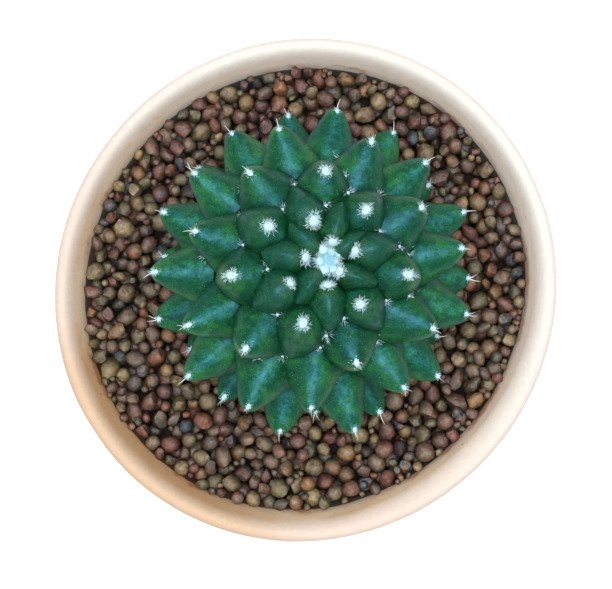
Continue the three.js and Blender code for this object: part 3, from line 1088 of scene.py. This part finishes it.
@dataclass
class CactusSkin:
    """The green body: core, neck and root with all the tubercles grown together."""

    form: CactusForm
    sides: int = 40
    sections: int = 17
    crowding: float = 1.7
    core_sides: int = 72
    core_degrees: range = range(140, 4, -6)  # down from the crown, from the lowest ring up
    root_share: float = -0.3
    point: float = 0.01
    figures: tuple[Figure, ...] = (
        Figure(0.00, 0.70, 0.10, 1.70, 0.62, 2.0, 1.20, 1.00, 1.55),
        Figure(0.20, 0.72, 0.05, 2.00, 0.58, 2.1, 1.35, 1.00, 1.25),
        Figure(0.42, 0.76, -0.38, 4.00, 0.50, 2.2, 1.50, 1.00, 1.08),
        Figure(0.62, 0.80, -0.66, 7.00, 0.46, 2.0, 1.50, 1.00, 1.00),
        Figure(0.80, 0.71, -0.72, 9.00, 0.45, 1.75, 1.50, 0.98, 0.98),
        Figure(1.00, 0.62, -0.76, 11.00, 0.43, 1.65, 1.60, 0.96, 0.96),
    )
    fit_steps: int = 24
    fit_end: float = 0.995
    crease_reach: float = 0.7
    crease_end: float = 0.8
    variation: float = 0.035
    variation_seed: int = 40
    tint_seed: int = 11
    swelling: float = 0.5
    swelling_size: float = 4.5
    soft_edge: float = 32.0
    corner_reach: float = 0.5
    lowest_corner: float = 4.0
    first_corner: int = 12
    corners: np.ndarray = field(default_factory=lambda: np.zeros((0, 3)))

    def figure(self, age: float) -> Figure:
        """Picks the figure of a tubercle of some age.

        Args:
            age: Its age, from 0 to 1.

        Returns:
            The figure.
        """
        for younger, older in pairwise(self.figures):
            if age <= older.age:
                return younger.mixed(older, age)
        return self.figures[-1]

    def blank(self) -> Stamp:
        """Models the blank that every tubercle is shaped from.

        Returns:
            A closed tube of plain rings, closer together towards the tip, with the share of
            the way to the tip as their height.
        """
        body = 1 - (1 - np.linspace(0.0, 1.0, self.sections)) ** self.crowding
        rings = [Ring(1.0, share) for share in [self.root_share, *body[:-1].tolist()]]
        rings.append(Ring(self.point, 1.0))
        return Stamp.taken_from(stack_rings("tubercle_blank", self.sides, rings))

    def shaped(self, blank: Stamp, one: Tubercle) -> Stamp:
        """Shapes the blank to a tubercle.

        Args:
            blank: The plain tube.
            one: The tubercle.

        Returns:
            The tubercle as a stamp in its place.
        """
        figure = self.figure(one.age)
        share = blank.points[:, 2]
        reach = np.hypot(blank.points[:, 0], blank.points[:, 1])
        safe = np.maximum(reach, 1e-9)
        cos, sin = blank.points[:, 0] / safe, blank.points[:, 1] / safe
        power = 2 / np.where(sin > 0, figure.crown_power, figure.outer_power)
        # The tip is round, whatever the section below it.
        power = power + (1 - power) * np.clip(share, 0, 1) ** 3
        random = np.random.default_rng(one.number + self.variation_seed)
        own = 1 + self.variation * float(random.normal())
        width = one.root_spacing * figure.base * own * figure.width(share) * np.minimum(reach, 1.0)
        across = width * np.sign(cos) * np.abs(cos) ** power
        stretch = np.where(sin > 0, figure.crown_reach, figure.outer_reach)
        along = width * stretch * np.sign(sin) * np.abs(sin) ** power
        middle, heading = one.axis(share)
        sideways = np.array(one.sideways)
        crownwards = np.cross(heading, sideways)
        crownwards /= np.linalg.norm(crownwards, axis=1)[:, None]
        points = middle + across[:, None] * sideways + along[:, None] * crownwards
        return Stamp(points, blank.triangles)

    def core(self) -> Object:
        """Models the body under the tubercles.

        Returns:
            The body with its neck and taproot, leaning as the plant does.
        """
        form = self.form
        rings = [
            Ring(form.root_tip_radius, -form.root_depth),
            Ring(form.taper_radius, -form.taper_depth),
            Ring(form.shoulder_radius, -form.shoulder_depth),
            Ring(form.neck_radius, -form.neck_depth),
        ]
        rings += [Ring(*form.core_section(math.radians(one))) for one in self.core_degrees]
        core = stack_rings("cactus_skin", self.core_sides, rings)
        place = form.frame()
        place.translation *= MM
        core.data.transform(place)
        return core

    def build(self, finish: Material) -> Object:
        """Grows core and tubercles together, marks the skin for its material and dresses it.

        Args:
            finish: The skin.

        Returns:
            The skin's object.
        """
        skin = self.core()
        blank = self.blank()
        tubercles = self.form.tubercles()
        raised = bpy.data.collections.new("tubercles")
        for one in tubercles:
            grown = self.shaped(blank, one).as_object(f"tubercle_{one.number - self.form.youngest}")
            with all_in_edit_mode(grown):
                bpy.ops.mesh.normals_make_consistent(inside=False)
            bpy.context.scene.collection.objects.unlink(grown)
            raised.objects.link(grown)
        apply_modifier(
            skin, "BOOLEAN", operation="UNION", operand_type="COLLECTION",
            collection=raised, solver="MANIFOLD",
        )
        for grown in list(raised.objects):
            bpy.data.objects.remove(grown)
        bpy.data.collections.remove(raised)
        self.mark(skin, tubercles)
        ruffle(skin, "living_swelling", self.swelling_size, self.swelling)
        shade_by_angle(skin, self.soft_edge)
        skin.data.materials.clear()
        skin.data.materials.append(finish)
        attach(skin, "root")
        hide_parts("cactus")
        return skin

    def fits(self, points: np.ndarray, tubercles: Sequence[Tubercle]) -> tuple[np.ndarray, ...]:
        """Measures how each point of the skin lies to each tubercle.

        Args:
            points: The skin's points.
            tubercles: All tubercles.

        Returns:
            For each tubercle and point: the distance between the point and the tubercle's own
            surface, the share of the way to its tip, and how far up on the keel the point
            lies (1 on the keel, -1 below).
        """
        shares = np.linspace(0, self.fit_end, self.fit_steps)
        gaps, along, keel = [], [], []
        for one in tubercles:
            axis, headings = one.axis(shares)
            nearest = np.linalg.norm(points[:, None, :] - axis[None, :, :], axis=2).argmin(axis=1)
            share = shares[nearest]
            offset = points - axis[nearest]
            figure = self.figure(one.age)
            sideways = np.array(one.sideways)
            across = offset @ sideways
            rise = np.einsum("ij,ij->i", offset, np.cross(headings[nearest], sideways))
            rise = rise / np.where(rise > 0, figure.crown_reach, figure.outer_reach)
            power = np.where(rise > 0, figure.crown_power, figure.outer_power)
            power = power + (2 - power) * share**3
            reach = (np.abs(across) ** power + np.abs(rise) ** power) ** (1 / power)
            gaps.append(np.abs(reach - one.root_spacing * figure.base * figure.width(share)))
            along.append(share)
            keel.append(rise / np.maximum(np.hypot(across, rise), 1e-6))
        return np.array(gaps), np.array(along), np.array(keel)

    def mark(self, skin: Object, tubercles: Sequence[Tubercle]) -> None:
        """Keeps, for each point, what the material needs to know of its tubercle.

        Args:
            skin: The skin.
            tubercles: All tubercles.
        """
        points = np.array([vertex.co[:] for vertex in skin.data.vertices]) / MM
        gaps, along, keel = self.fits(points, tubercles)
        order = np.argsort(gaps, axis=0)
        rows = np.arange(len(points))
        owner = order[0]
        second, third = (gaps[order[place], rows] - gaps[owner, rows] for place in (1, 2))
        tints = np.random.default_rng(self.tint_seed).random(len(tubercles))
        share = along[owner, rows]
        # Painted shade in the valleys: strongest where a second tubercle's surface lies close.
        crease = np.clip(1 - second / self.crease_reach, 0, 1) * (share < self.crease_end)
        store_values(skin, "tip_share", share)
        store_values(skin, "keel", keel[owner, rows])
        store_values(skin, "crease", crease)
        store_values(skin, "own_tint", tints[owner])
        store_values(skin, "age", np.array([one.age for one in tubercles])[owner])
        # The corners where three tubercles meet, above the grains, the nearest points first.
        numbers = np.array([one.number for one in tubercles])
        oldest = numbers[order[:3, rows]].max(axis=0)
        high = points[:, 2] > self.form.origin.z + self.lowest_corner
        corner = (third < self.corner_reach) & high & (oldest >= self.first_corner)
        self.corners = points[corner][np.argsort(third[corner])]


# ---- wool, hairs and spines


@dataclass(frozen=True)
class TuftMake:
    """How a tuft of radius 1 is made: hairs all round a felted middle."""

    hairs: int
    spread: float  # widest angle of a hair from the tuft's axis, in radians
    patch: float  # radius of the patch that the hairs grow from
    length: float
    thickness: float
    droop: float  # how far a hair's point leans over
    middle: float  # radius of the felted middle
    flatness: float
    unevenness: float
    shortest: float = 0.6  # length of the shortest hair over the longest
    lift: float = 0.0


@dataclass
class Hairs:
    """The plant's wool: single hairs gathered to tufts, and tufts set on the plant."""

    form: CactusForm
    seed: int = 31
    tip_depth: float = 1.7
    hair_sides: int = 3
    hair_rings: tuple[float, ...] = (0.0, 0.55, 1.0)
    hair_taper: float = 0.8
    stray: float = 0.32
    felt_seed: int = 4

    def __post_init__(self) -> None:
        """Starts the seeded draw."""
        self.random = np.random.default_rng(self.seed)

    def seat(self, tree: BVHTree, one: Tubercle, lean: float) -> Matrix:
        """Finds the spot on a tubercle's tip where its wool grows.

        Args:
            tree: The skin, for finding its surface.
            one: The tubercle.
            lean: How far the spot lies round towards the crown, in radians.

        Returns:
            The spot's place: +Z points out of the skin and +Y towards the crown.
        """
        crownwards = one.direction.cross(one.sideways).normalized()
        axis = (one.direction * math.cos(lean) + crownwards * math.sin(lean)).normalized()
        inside = one.tip - one.direction * self.tip_depth
        hit = tree.ray_cast((inside + axis * self.tip_depth * 3) * MM, -axis)[0]
        up = (crownwards - axis * crownwards.dot(axis)).normalized()
        place = Matrix((up.cross(axis), up, axis)).transposed().to_4x4()
        place.translation = hit / MM if hit else one.tip
        return place

    def hair(self, make: TuftMake) -> Stamp:
        """Models one bent, tapering hair along +Z.

        Args:
            make: The make of its tuft.

        Returns:
            The hair.
        """
        rings = []
        for share in self.hair_rings:
            thickness = make.thickness * (1 - self.hair_taper * share)
            rings.append(Ring(thickness, make.length * share, make.droop * share**2))
        return Stamp.taken_from(stack_rings("hair", self.hair_sides, rings))

    def felt(self, make: TuftMake) -> Stamp:
        """Models the felted middle of a tuft, a low uneven dome.

        Args:
            make: The tuft's make.

        Returns:
            The middle.
        """
        deselect_all()
        bpy.ops.mesh.primitive_ico_sphere_add(subdivisions=2, radius=make.middle * MM)
        middle = bpy.context.object
        with all_in_edit_mode(middle):
            bpy.ops.transform.vertex_random(offset=make.middle * MM * make.unevenness, seed=self.felt_seed)
            bpy.ops.transform.resize(value=(1.0, 1.0, make.flatness))
        return Stamp.taken_from(middle)

    def tufts(self, make: TuftMake) -> Iterator[Stamp]:
        """Makes tufts without end, each with its own draw of hairs.

        Args:
            make: How they are made.

        Yields:
            A tuft of radius 1.
        """
        hair, felt = self.hair(make), self.felt(make)
        while True:
            copies = []
            for _ in range(make.hairs):
                tilt = make.spread * math.sqrt(self.random.random())
                around = self.random.random() * 2 * math.pi
                level = Vector((math.sin(tilt) * math.cos(around), math.sin(tilt) * math.sin(around), 0.0))
                stray = Vector((*self.random.normal(size=2), 0.0)) * self.stray
                foot = (level * (tilt / make.spread) + stray) * make.patch
                size = make.shortest + (1 - make.shortest) * self.random.random()
                aim = level + UP * math.cos(tilt)
                copies.append((hair, frame_along(aim, foot, self.random.random() * ANY_SPIN, size)))
            copies.append((felt, Matrix.Translation((0.0, 0.0, make.lift))))
            yield Stamp.gathered(copies)[0]


@dataclass
class AreoleWool(Hairs):
    """The white tufts on the tips of the tubercles."""

    young_make: TuftMake = TuftMake(230, 1.5, 0.544, 0.86, 0.085, 0.30, 0.68, 0.6, 0.4, lift=0.10)
    old_make: TuftMake = TuftMake(75, 1.45, 0.44, 0.86, 0.085, 0.30, 0.55, 0.6, 0.4, lift=0.10)
    young_radius: float = 1.75
    old_radius: float = 0.95
    old_lean: float = math.radians(48)
    old_stretch: float = 1.45
    sizes: tuple[float, float] = (0.9, 1.1)  # of one tuft over another
    uneven_stretch: float = 0.5
    sunk: float = 0.12
    root_shade: float = 0.55
    shade_rise: float = 0.5
    variants: int = 4

    def build(self, finish: Material, skin: Object) -> Object:
        """Sets a tuft on every tip and dresses them.

        Args:
            finish: The wool.
            skin: The finished skin.

        Returns:
            The tufts as one object.
        """
        tree = BVHTree.FromObject(skin, bpy.context.evaluated_depsgraph_get())
        kinds = {
            zone: list(islice(self.tufts(make), self.variants))
            for zone, make in ((Zone.YOUNG, self.young_make), (Zone.SPINED, self.old_make))
        }
        copies = []
        for one in self.form.tubercles():
            if one.zone is Zone.SPROUT:
                continue
            size = self.young_radius + (self.old_radius - self.young_radius) * one.age
            size *= self.random.uniform(*self.sizes)
            uneven = self.uneven_stretch * (self.random.random() - 0.5)
            stretch = 1 + (self.old_stretch - 1) * one.age + uneven
            place = (
                self.seat(tree, one, self.old_lean * one.age)
                @ Matrix.Translation((0.0, 0.0, -self.sunk))
                @ Matrix.Diagonal((size, size * stretch, size, 1.0))
                @ Matrix.Rotation((self.random.random() - 0.5) * math.pi / 2, 4, "Z")
            )
            copies.append((kinds[one.zone][self.random.integers(self.variants)], place))
        tufts, _, reach = Stamp.gathered(copies)
        piece = tufts.as_object("areole_wool")
        # Painted shade: darker and bluer towards the middle of each tuft, where the hairs root.
        store_values(piece, "shade", np.clip(self.root_shade + reach * self.shade_rise, 0, 1))
        piece.data.materials.append(finish)
        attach(piece, "root")
        return piece


@dataclass
class CrownWool(Hairs):
    """The cluster of wool in the crown, felted lumps with short hairs."""

    make: TuftMake = TuftMake(480, 1.5, 0.55, 0.80, 0.055, 0.25, 0.66, 0.9, 0.35, shortest=0.3)
    height: float = 48.2
    # Each lump's place from the crown's middle, and its radius.
    lumps: tuple[tuple[float, float, float, float], ...] = (
        (-0.77, 2.24, 0.0, 1.75), (2.48, 1.37, -0.3, 1.45), (0.45, 0.10, -0.2, 2.30),
        (-1.38, -0.30, -0.1, 1.65), (-0.56, -2.13, 0.0, 1.75), (1.31, -1.87, 0.0, 1.60),
        (1.85, -0.15, -0.1, 1.55), (0.95, 1.65, -0.1, 1.60), (0.10, -1.00, 0.0, 1.55),
    )
    hollow: tuple[float, float, float] = (0.5, 0.0, 1.2)
    hollow_radius: float = 4.2
    hollow_shade: float = 0.25
    root_depth: float = 0.35

    def build(self, finish: Material) -> Object:
        """Makes the cluster and dresses it.

        Args:
            finish: The wool.

        Returns:
            The cluster's object.
        """
        crown = self.form.frame() @ Matrix.Translation((0.0, 0.0, self.height))
        copies = [
            (tuft, crown @ Matrix.Translation(place) @ Matrix.Scale(radius, 4))
            for (*place, radius), tuft in zip(self.lumps, self.tufts(self.make))
        ]
        cluster, owners, reach = Stamp.gathered(copies)
        piece = cluster.as_object("crown_wool_cluster")
        # Painted shade: darkest in the middle of the crown and at the roots of the hairs.
        fluff = reach / np.array([radius for *_, radius in self.lumps])[owners]
        centre = np.array((crown @ Vector(self.hollow))[:])
        depth = np.linalg.norm((cluster.points - centre)[:, :2], axis=1) / self.hollow_radius
        shade = self.hollow_shade + depth + (fluff - 1.0) * self.root_depth
        store_values(piece, "shade", np.clip(shade, 0, 1))
        piece.data.materials.append(finish)
        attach(piece, "root")
        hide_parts("crown_wool")
        return piece


@dataclass
class AxilHairs(Hairs):
    """Small sprays of curled hair in the corners where three tubercles meet."""

    make: TuftMake = TuftMake(34, 1.45, 0.5, 1.8, 0.10, 0.9, 0.42, 0.7, 0.5, shortest=0.35)
    apart: float = 3.6
    proud: float = 0.3
    sizes: tuple[float, float] = (0.85, 1.35)
    shade: float = 0.8
    lowest: float = math.radians(74)

    def build(self, finish: Material, corners: np.ndarray) -> Object:
        """Sets the sprays and dresses them.

        Args:
            finish: The wool.
            corners: Points of the skin near such corners, the nearest first.

        Returns:
            The sprays as one object.
        """
        frame = self.form.frame()
        centre = frame @ (UP * self.form.core_middle)
        axis = frame.to_3x3() @ UP
        chosen: list[Vector] = []
        for corner in map(Vector, corners.tolist()):
            apart = all((corner - other).length > self.apart for other in chosen)
            if apart and (corner - centre).angle(axis) <= self.lowest:
                chosen.append(corner)
        copies = []
        for corner, spray in zip(chosen, self.tufts(self.make)):
            outward = (corner - centre).normalized()
            size = self.random.uniform(*self.sizes)
            foot = corner + outward * self.proud
            copies.append((spray, frame_along(outward, foot, self.random.random() * ANY_SPIN, size)))
        LOG.info("corners with hairs: %d", len(copies))
        sprays = Stamp.gathered(copies)[0]
        piece = sprays.as_object("axil_hairs")
        store_values(piece, "shade", np.full(len(sprays.points), self.shade))
        piece.data.materials.append(finish)
        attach(piece, "root")
        return piece


@dataclass
class Spines(Hairs):
    """Short curved spines, one or two on each older tip."""

    length: float = 3.4
    thickness: float = 0.115
    point: float = 0.012
    taper: float = 0.6
    curve: float = 0.75
    sides: int = 6
    ring_count: int = 7
    lean: float = math.radians(20)
    rooted: float = 0.3
    scatter: float = 0.28
    shortest: float = 0.45
    young_length: float = 0.55

    def build(self, finish: Material, skin: Object) -> Object:
        """Sets the spines and dresses them.

        Args:
            finish: The horn.
            skin: The finished skin.

        Returns:
            The spines as one object.
        """
        rings = []
        for share in np.linspace(0, 1, self.ring_count).tolist():
            thickness = self.thickness * (1 - share) ** self.taper + self.point
            rings.append(Ring(thickness, self.length * share, self.curve * share**2))
        spine = Stamp.taken_from(stack_rings("spine", self.sides, rings))
        tree = BVHTree.FromObject(skin, bpy.context.evaluated_depsgraph_get())
        copies = []
        for one in self.form.tubercles():
            if one.zone is not Zone.SPINED:
                continue
            seat = self.seat(tree, one, self.lean)
            foot = seat.to_translation() - one.direction * self.rooted
            for _ in range(1 + int(self.random.integers(2))):
                aside, upwards = (self.random.normal(size=2) * self.scatter).tolist()
                aim = one.direction + one.sideways * aside + seat.col[1].to_3d() * upwards
                size = self.random.uniform(self.shortest, 1.0)
                size *= self.young_length + (1 - self.young_length) * one.age
                copies.append((spine, frame_along(aim, foot, self.random.random() * ANY_SPIN, size)))
        spines, _, reach = Stamp.gathered(copies)
        piece = spines.as_object("spines")
        store_values(piece, "along", np.clip(reach / self.length, 0, 1))
        piece.data.materials.append(finish)
        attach(piece, "root")
        return piece


# ---- grains


@dataclass(frozen=True)
class GrainMake:
    """How a grain of radius 1 is made from a round blank."""

    share: float  # of all the grains
    unevenness: float
    sizes: tuple[float, float, float]
    cuts: int
    cut_reach: float  # from the grain's middle to each flat


class GrainKind(Enum):
    """The sorts of grain in the dressing."""

    ROLLED_BALL = GrainMake(0.36, 0.16, (1.08, 0.98, 0.92), 5, 0.86)
    WORN_LUMP = GrainMake(0.40, 0.30, (1.24, 0.98, 0.82), 8, 0.78)
    BROKEN_CHIP = GrainMake(0.24, 0.12, (1.45, 0.92, 0.70), 8, 0.66)


@dataclass
class GrainDressing:
    """The loose grains over the compost, each resting on those below."""

    pot: ClayPot
    form: CactusForm
    seed: int = 5
    count: int = 3600
    grit: int = 420
    grit_radii: tuple[float, float] = (0.85, 1.35)
    bottom: float = 66.0
    level: float = 74.3
    small: float = 1.45
    large: float = 3.1
    closeness: float = 0.90
    wall_closeness: float = 0.84
    wall_band: float = 0.05
    skin_closeness: float = 0.80
    neck_gap: float = 2.0
    heap: float = 0.4
    heap_at_wall: float = 0.78
    tries: int = 30
    rolls: int = 10
    wall_turn: int = 4
    grit_turn: int = 7
    variants: int = 6
    size_draw: tuple[float, float] = (2.4, 1.9)  # shape of the beta draw of sizes
    directions: int = 8  # that a grain tries as it rolls
    first_roll: float = 0.5  # over the grain's radius
    neighbourhood: float = 4.0  # over the largest radius
    tones: tuple[float, float] = (0.75, 1.25)
    sunk_from: float = 72.8
    sunk_to: float = 67.8
    sunk_shade: float = 0.5
    soft_edge: float = 38.0
    # How common each earth colour is.
    colours: dict[str, float] = field(default_factory=lambda: {
        "6d5844": 0.17, "665c3c": 0.17, "5e4034": 0.17, "6a3c30": 0.14, "87724c": 0.08,
        "504638": 0.08, "3c3a3c": 0.05, "26333e": 0.03, "7d4a2e": 0.05, "7e5830": 0.06,
    })

    def __post_init__(self) -> None:
        """Starts the seeded draw."""
        self.random = np.random.default_rng(self.seed)

    def grain(self, make: GrainMake, seed: int) -> Stamp:
        """Models one grain from a round blank.

        Args:
            make: Its make.
            seed: Picks its own unevenness.

        Returns:
            The grain.
        """
        random = np.random.default_rng(seed)
        deselect_all()
        bpy.ops.mesh.primitive_ico_sphere_add(subdivisions=2, radius=MM)
        grain = bpy.context.object
        with all_in_edit_mode(grain):
            bpy.ops.transform.vertex_random(offset=make.unevenness * MM, seed=seed)
            bpy.ops.mesh.vertices_smooth(factor=0.5, repeat=1)
            bpy.ops.transform.resize(value=make.sizes)
            for _ in range(make.cuts):
                normal = random.normal(size=3)
                normal /= np.linalg.norm(normal)
                flat = (normal * make.cut_reach * MM).tolist()
                bpy.ops.mesh.select_all(action="SELECT")
                bpy.ops.mesh.bisect(plane_co=flat, plane_no=normal.tolist(), use_fill=True, clear_outer=True)
        # A flat that only grazes the grain lays a face on one that is there, and this drops it.
        grain.data.validate()
        return Stamp.taken_from(grain)

    def rest(self, spots: np.ndarray, radius: float, centres: np.ndarray, radii: np.ndarray) -> np.ndarray:
        """Finds the heights at which a grain comes to lie over some spots.

        Args:
            spots: The spots, as rows of x and y.
            radius: The grain's radius.
            centres: The grains that already lie there.
            radii: Their radii.

        Returns:
            A height for each spot, or infinity where the wall or the plant is in the way.
        """
        height = np.full(len(spots), self.bottom + radius)
        if len(centres):
            gap = np.linalg.norm(spots[:, None, :] - centres[None, :, :2], axis=2)
            touch = (radius + radii[None, :]) * self.closeness
            lift = centres[None, :, 2] + np.sqrt(np.clip(touch**2 - gap**2, 0, None))
            height = np.maximum(height, np.where(gap < touch, lift, 0).max(axis=1))
        reach = np.linalg.norm(spots, axis=1)
        wall = self.pot.bed_radius + (height - self.pot.bed_height) * self.pot.taper
        wall -= self.pot.extra_thickness(np.arctan2(spots[:, 1], spots[:, 0]), height)
        from_neck = np.linalg.norm(spots - np.array(self.form.origin[:2]), axis=1)
        blocked = reach > wall - radius * self.wall_closeness
        blocked |= from_neck < self.form.neck_radius + radius + self.neck_gap
        return np.where(blocked, np.inf, height)

    def drop(self, skin: Object) -> tuple[np.ndarray, np.ndarray]:
        """Drops the grains one by one and lets each roll down to a hollow.

        Args:
            skin: The plant's skin, which they keep clear of.

        Returns:
            The grains' centres and radii.
        """
        tree = BVHTree.FromObject(skin, bpy.context.evaluated_depsgraph_get())
        centres = np.zeros((0, 3))
        radii = np.zeros(0)
        turns = np.arange(self.directions) * 2 * math.pi / self.directions
        around = np.stack([np.cos(turns), np.sin(turns)], axis=1)
        for number in range(self.count + self.grit):
            radius = self.small + (self.large - self.small) * float(self.random.beta(*self.size_draw))
            if number >= self.count:
                radius = float(self.random.uniform(*self.grit_radii))
            angle = self.random.random(self.tries) * 2 * math.pi
            share = np.sqrt(self.random.random(self.tries))
            at_wall = number % (self.wall_turn if number < self.count else self.grit_turn) == 0
            if at_wall:
                share = 1 - (1 - share) * self.wall_band
            inwards = self.pot.extra_thickness(angle, self.pot.bed_height)
            reach = (self.pot.bed_radius - inwards - radius * self.wall_closeness) * share
            spots = np.stack([reach * np.cos(angle), reach * np.sin(angle)], axis=1)
            height = self.rest(spots, radius, centres, radii)
            spot, lowest = spots[height.argmin()], height.min()
            near = np.linalg.norm(centres[:, :2] - spot, axis=1) < self.neighbourhood * self.large
            stride = radius * self.first_roll
            for _ in range(self.rolls):
                aims = spot + around * stride
                height = self.rest(aims, radius, centres[near], radii[near])
                if height.min() < lowest:
                    spot, lowest = aims[height.argmin()], height.min()
                else:
                    stride /= 2
            heap = self.heap_at_wall if at_wall else self.heap
            if lowest + radius > self.level + self.large * heap:
                continue
            place = Vector((*spot.tolist(), float(lowest)))
            clearance = tree.find_nearest(place * MM)[3]
            if clearance is not None and clearance / MM < radius * self.skin_closeness:
                continue
            centres = np.vstack([centres, place[:]])
            radii = np.append(radii, radius)
        return centres, radii

    def build(self, finish: Material, skin: Object) -> Object:
        """Makes the dressing.

        Args:
            finish: The grains' surface.
            skin: The plant's skin.

        Returns:
            The dressing as one object.
        """
        makes = [kind.value for kind in GrainKind]
        kinds = [[self.grain(make, seed) for seed in range(self.variants)] for make in makes]
        centres, radii = self.drop(skin)
        LOG.info("grains: %d", len(radii))
        sorts = self.random.choice(len(makes), len(radii), p=[make.share for make in makes])
        oval = self.pot.oval_matrix()
        copies = []
        for centre, radius, sort in zip(centres.tolist(), radii.tolist(), sorts):
            turn = Vector(self.random.normal(size=3).tolist())
            place = frame_along(turn, oval @ Vector(centre), self.random.random() * ANY_SPIN, radius)
            copies.append((kinds[sort][self.random.integers(self.variants)], place))
        dressing, owners, _ = Stamp.gathered(copies)
        piece = dressing.as_object("clay_grains")
        weights = np.array(list(self.colours.values()))
        palette = np.array([colour(code) for code in self.colours])
        for name in ("grain_colour", "grain_patch"):
            picks = self.random.choice(len(palette), len(radii), p=weights / weights.sum())
            tones = self.random.uniform(*self.tones, len(radii))
            own = palette[picks] * np.stack([tones, tones, tones, np.ones_like(tones)], axis=1)
            store_values(piece, name, own[owners])
        # Painted light and shade for the material: the height up each grain, less on the grains that lie
        # deeper.
        rise = dressing.points[:, 2] - centres[owners, 2]
        sunken = np.clip((self.sunk_from - centres[:, 2]) / (self.sunk_from - self.sunk_to), 0, 1)
        store_values(piece, "grain_light_and_shade", rise / radii[owners] - self.sunk_shade * sunken[owners])
        shade_by_angle(piece, self.soft_edge)
        piece.data.materials.append(finish)
        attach(piece, "root")
        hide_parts("gravel")
        return piece


# ---- studio


@dataclass
class Studio:
    """Floor, light and the camera at the photograph's viewing angle."""

    photo_width: float = 612.0
    photo_scale: float = 0.25  # millimetres in a pixel, at the rim
    rim_height: float = 82.0
    camera_rise: float = 420.0
    camera_right: float = 10.0
    aim: tuple[float, float] = (0.375, -1.125)
    sensor: float = 36.0
    lamp_place: tuple[float, float, float] = (0.0, 30.0, 1250.0)
    lamp_aim: float = 80.0
    lamp_size: float = 580.0
    lamp_power: float = 14.5
    lamp_colour: str = "fbfcff"
    room_colour: str = "fbfbfb"
    room_strength: float = 0.58
    floor_size: float = 6000.0
    floor_drop: float = 0.1

    def camera(self) -> None:
        """Sets the camera straight above, with the photograph's top at +Y."""
        data = bpy.data.cameras.new("camera")
        data.sensor_width = self.sensor
        data.lens = self.sensor * self.camera_rise / (self.photo_width * self.photo_scale)
        data.clip_start, data.clip_end = 0.01, 20.0
        camera = bpy.data.objects.new("camera", data)
        eye = Vector((self.camera_right, 0.0, self.rim_height + self.camera_rise))
        back = (eye - Vector((*self.aim, self.rim_height))).normalized()
        right = Vector((0.0, 1.0, 0.0)).cross(back).normalized()
        turn = Matrix((right, back.cross(right), back)).transposed().to_4x4()
        camera.matrix_world = Matrix.Translation(eye * MM) @ turn
        bpy.context.scene.collection.objects.link(camera)
        bpy.context.scene.camera = camera

    def floor(self) -> None:
        """Lays the floor, a hair's breadth under the pot."""
        deselect_all()
        size, drop = metres(self.floor_size, self.floor_drop)
        bpy.ops.mesh.primitive_plane_add(size=size, location=(0.0, 0.0, -drop))
        floor = bpy.context.object
        floor.name = "floor"
        floor.data.materials.append(PaleFloor().build())

    def light(self) -> None:
        """Hangs one broad soft light overhead and lights the room faintly all round."""
        data = bpy.data.lights.new("overhead", "AREA")
        data.size = self.lamp_size * MM
        data.energy = self.lamp_power
        data.color = colour(self.lamp_colour)[:3]
        lamp = bpy.data.objects.new("overhead", data)
        lamp.location = Vector(self.lamp_place) * MM
        aim = UP * self.lamp_aim * MM - lamp.location
        lamp.rotation_euler = aim.to_track_quat("-Z", "Y").to_euler()
        bpy.context.scene.collection.objects.link(lamp)
        world = bpy.data.worlds.new("room")
        world.use_nodes = True
        background = world.node_tree.nodes["Background"]
        background.inputs["Color"].default_value = colour(self.room_colour)
        background.inputs["Strength"].default_value = self.room_strength
        bpy.context.scene.world = world
        bpy.context.scene.view_settings.view_transform = "Standard"

    def build(self) -> None:
        """Sets the whole studio."""
        self.floor()
        self.light()
        self.camera()


# ---- the whole object


def dress_soil(frame: dict[str, Any]) -> None:
    """Gives the frame's compost its material.
    """
    materials = frame["nodes"]["soil"].data.materials
    materials.clear()
    materials.append(DampCompost().build())


def main() -> None:
    """Builds the potted cactus around its frame and reports each piece."""
    logging.basicConfig(level=logging.INFO, format="%(name)s: %(message)s")
    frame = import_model()
    wool = FeltedWool().build()
    pot = ClayPot()
    form = CactusForm()
    pieces = [pot.build(PressedClay().build())]
    dress_soil(frame)
    plant = CactusSkin(form)
    skin = plant.build(WaxySkin().build())
    pieces.append(skin)
    pieces.append(AreoleWool(form).build(wool, skin))
    pieces.append(CrownWool(form).build(wool))
    pieces.append(AxilHairs(form).build(wool, plant.corners))
    pieces.append(Spines(form).build(SpineHorn().build(), skin))
    pieces.append(GrainDressing(pot, form).build(BakedGrains().build(), skin))
    for piece in pieces:
        piece.data.calc_loop_triangles()
        LOG.info("%s: %d triangles", piece.name, len(piece.data.loop_triangles))
    Studio().build()


if __name__ == "__main__":
    main()
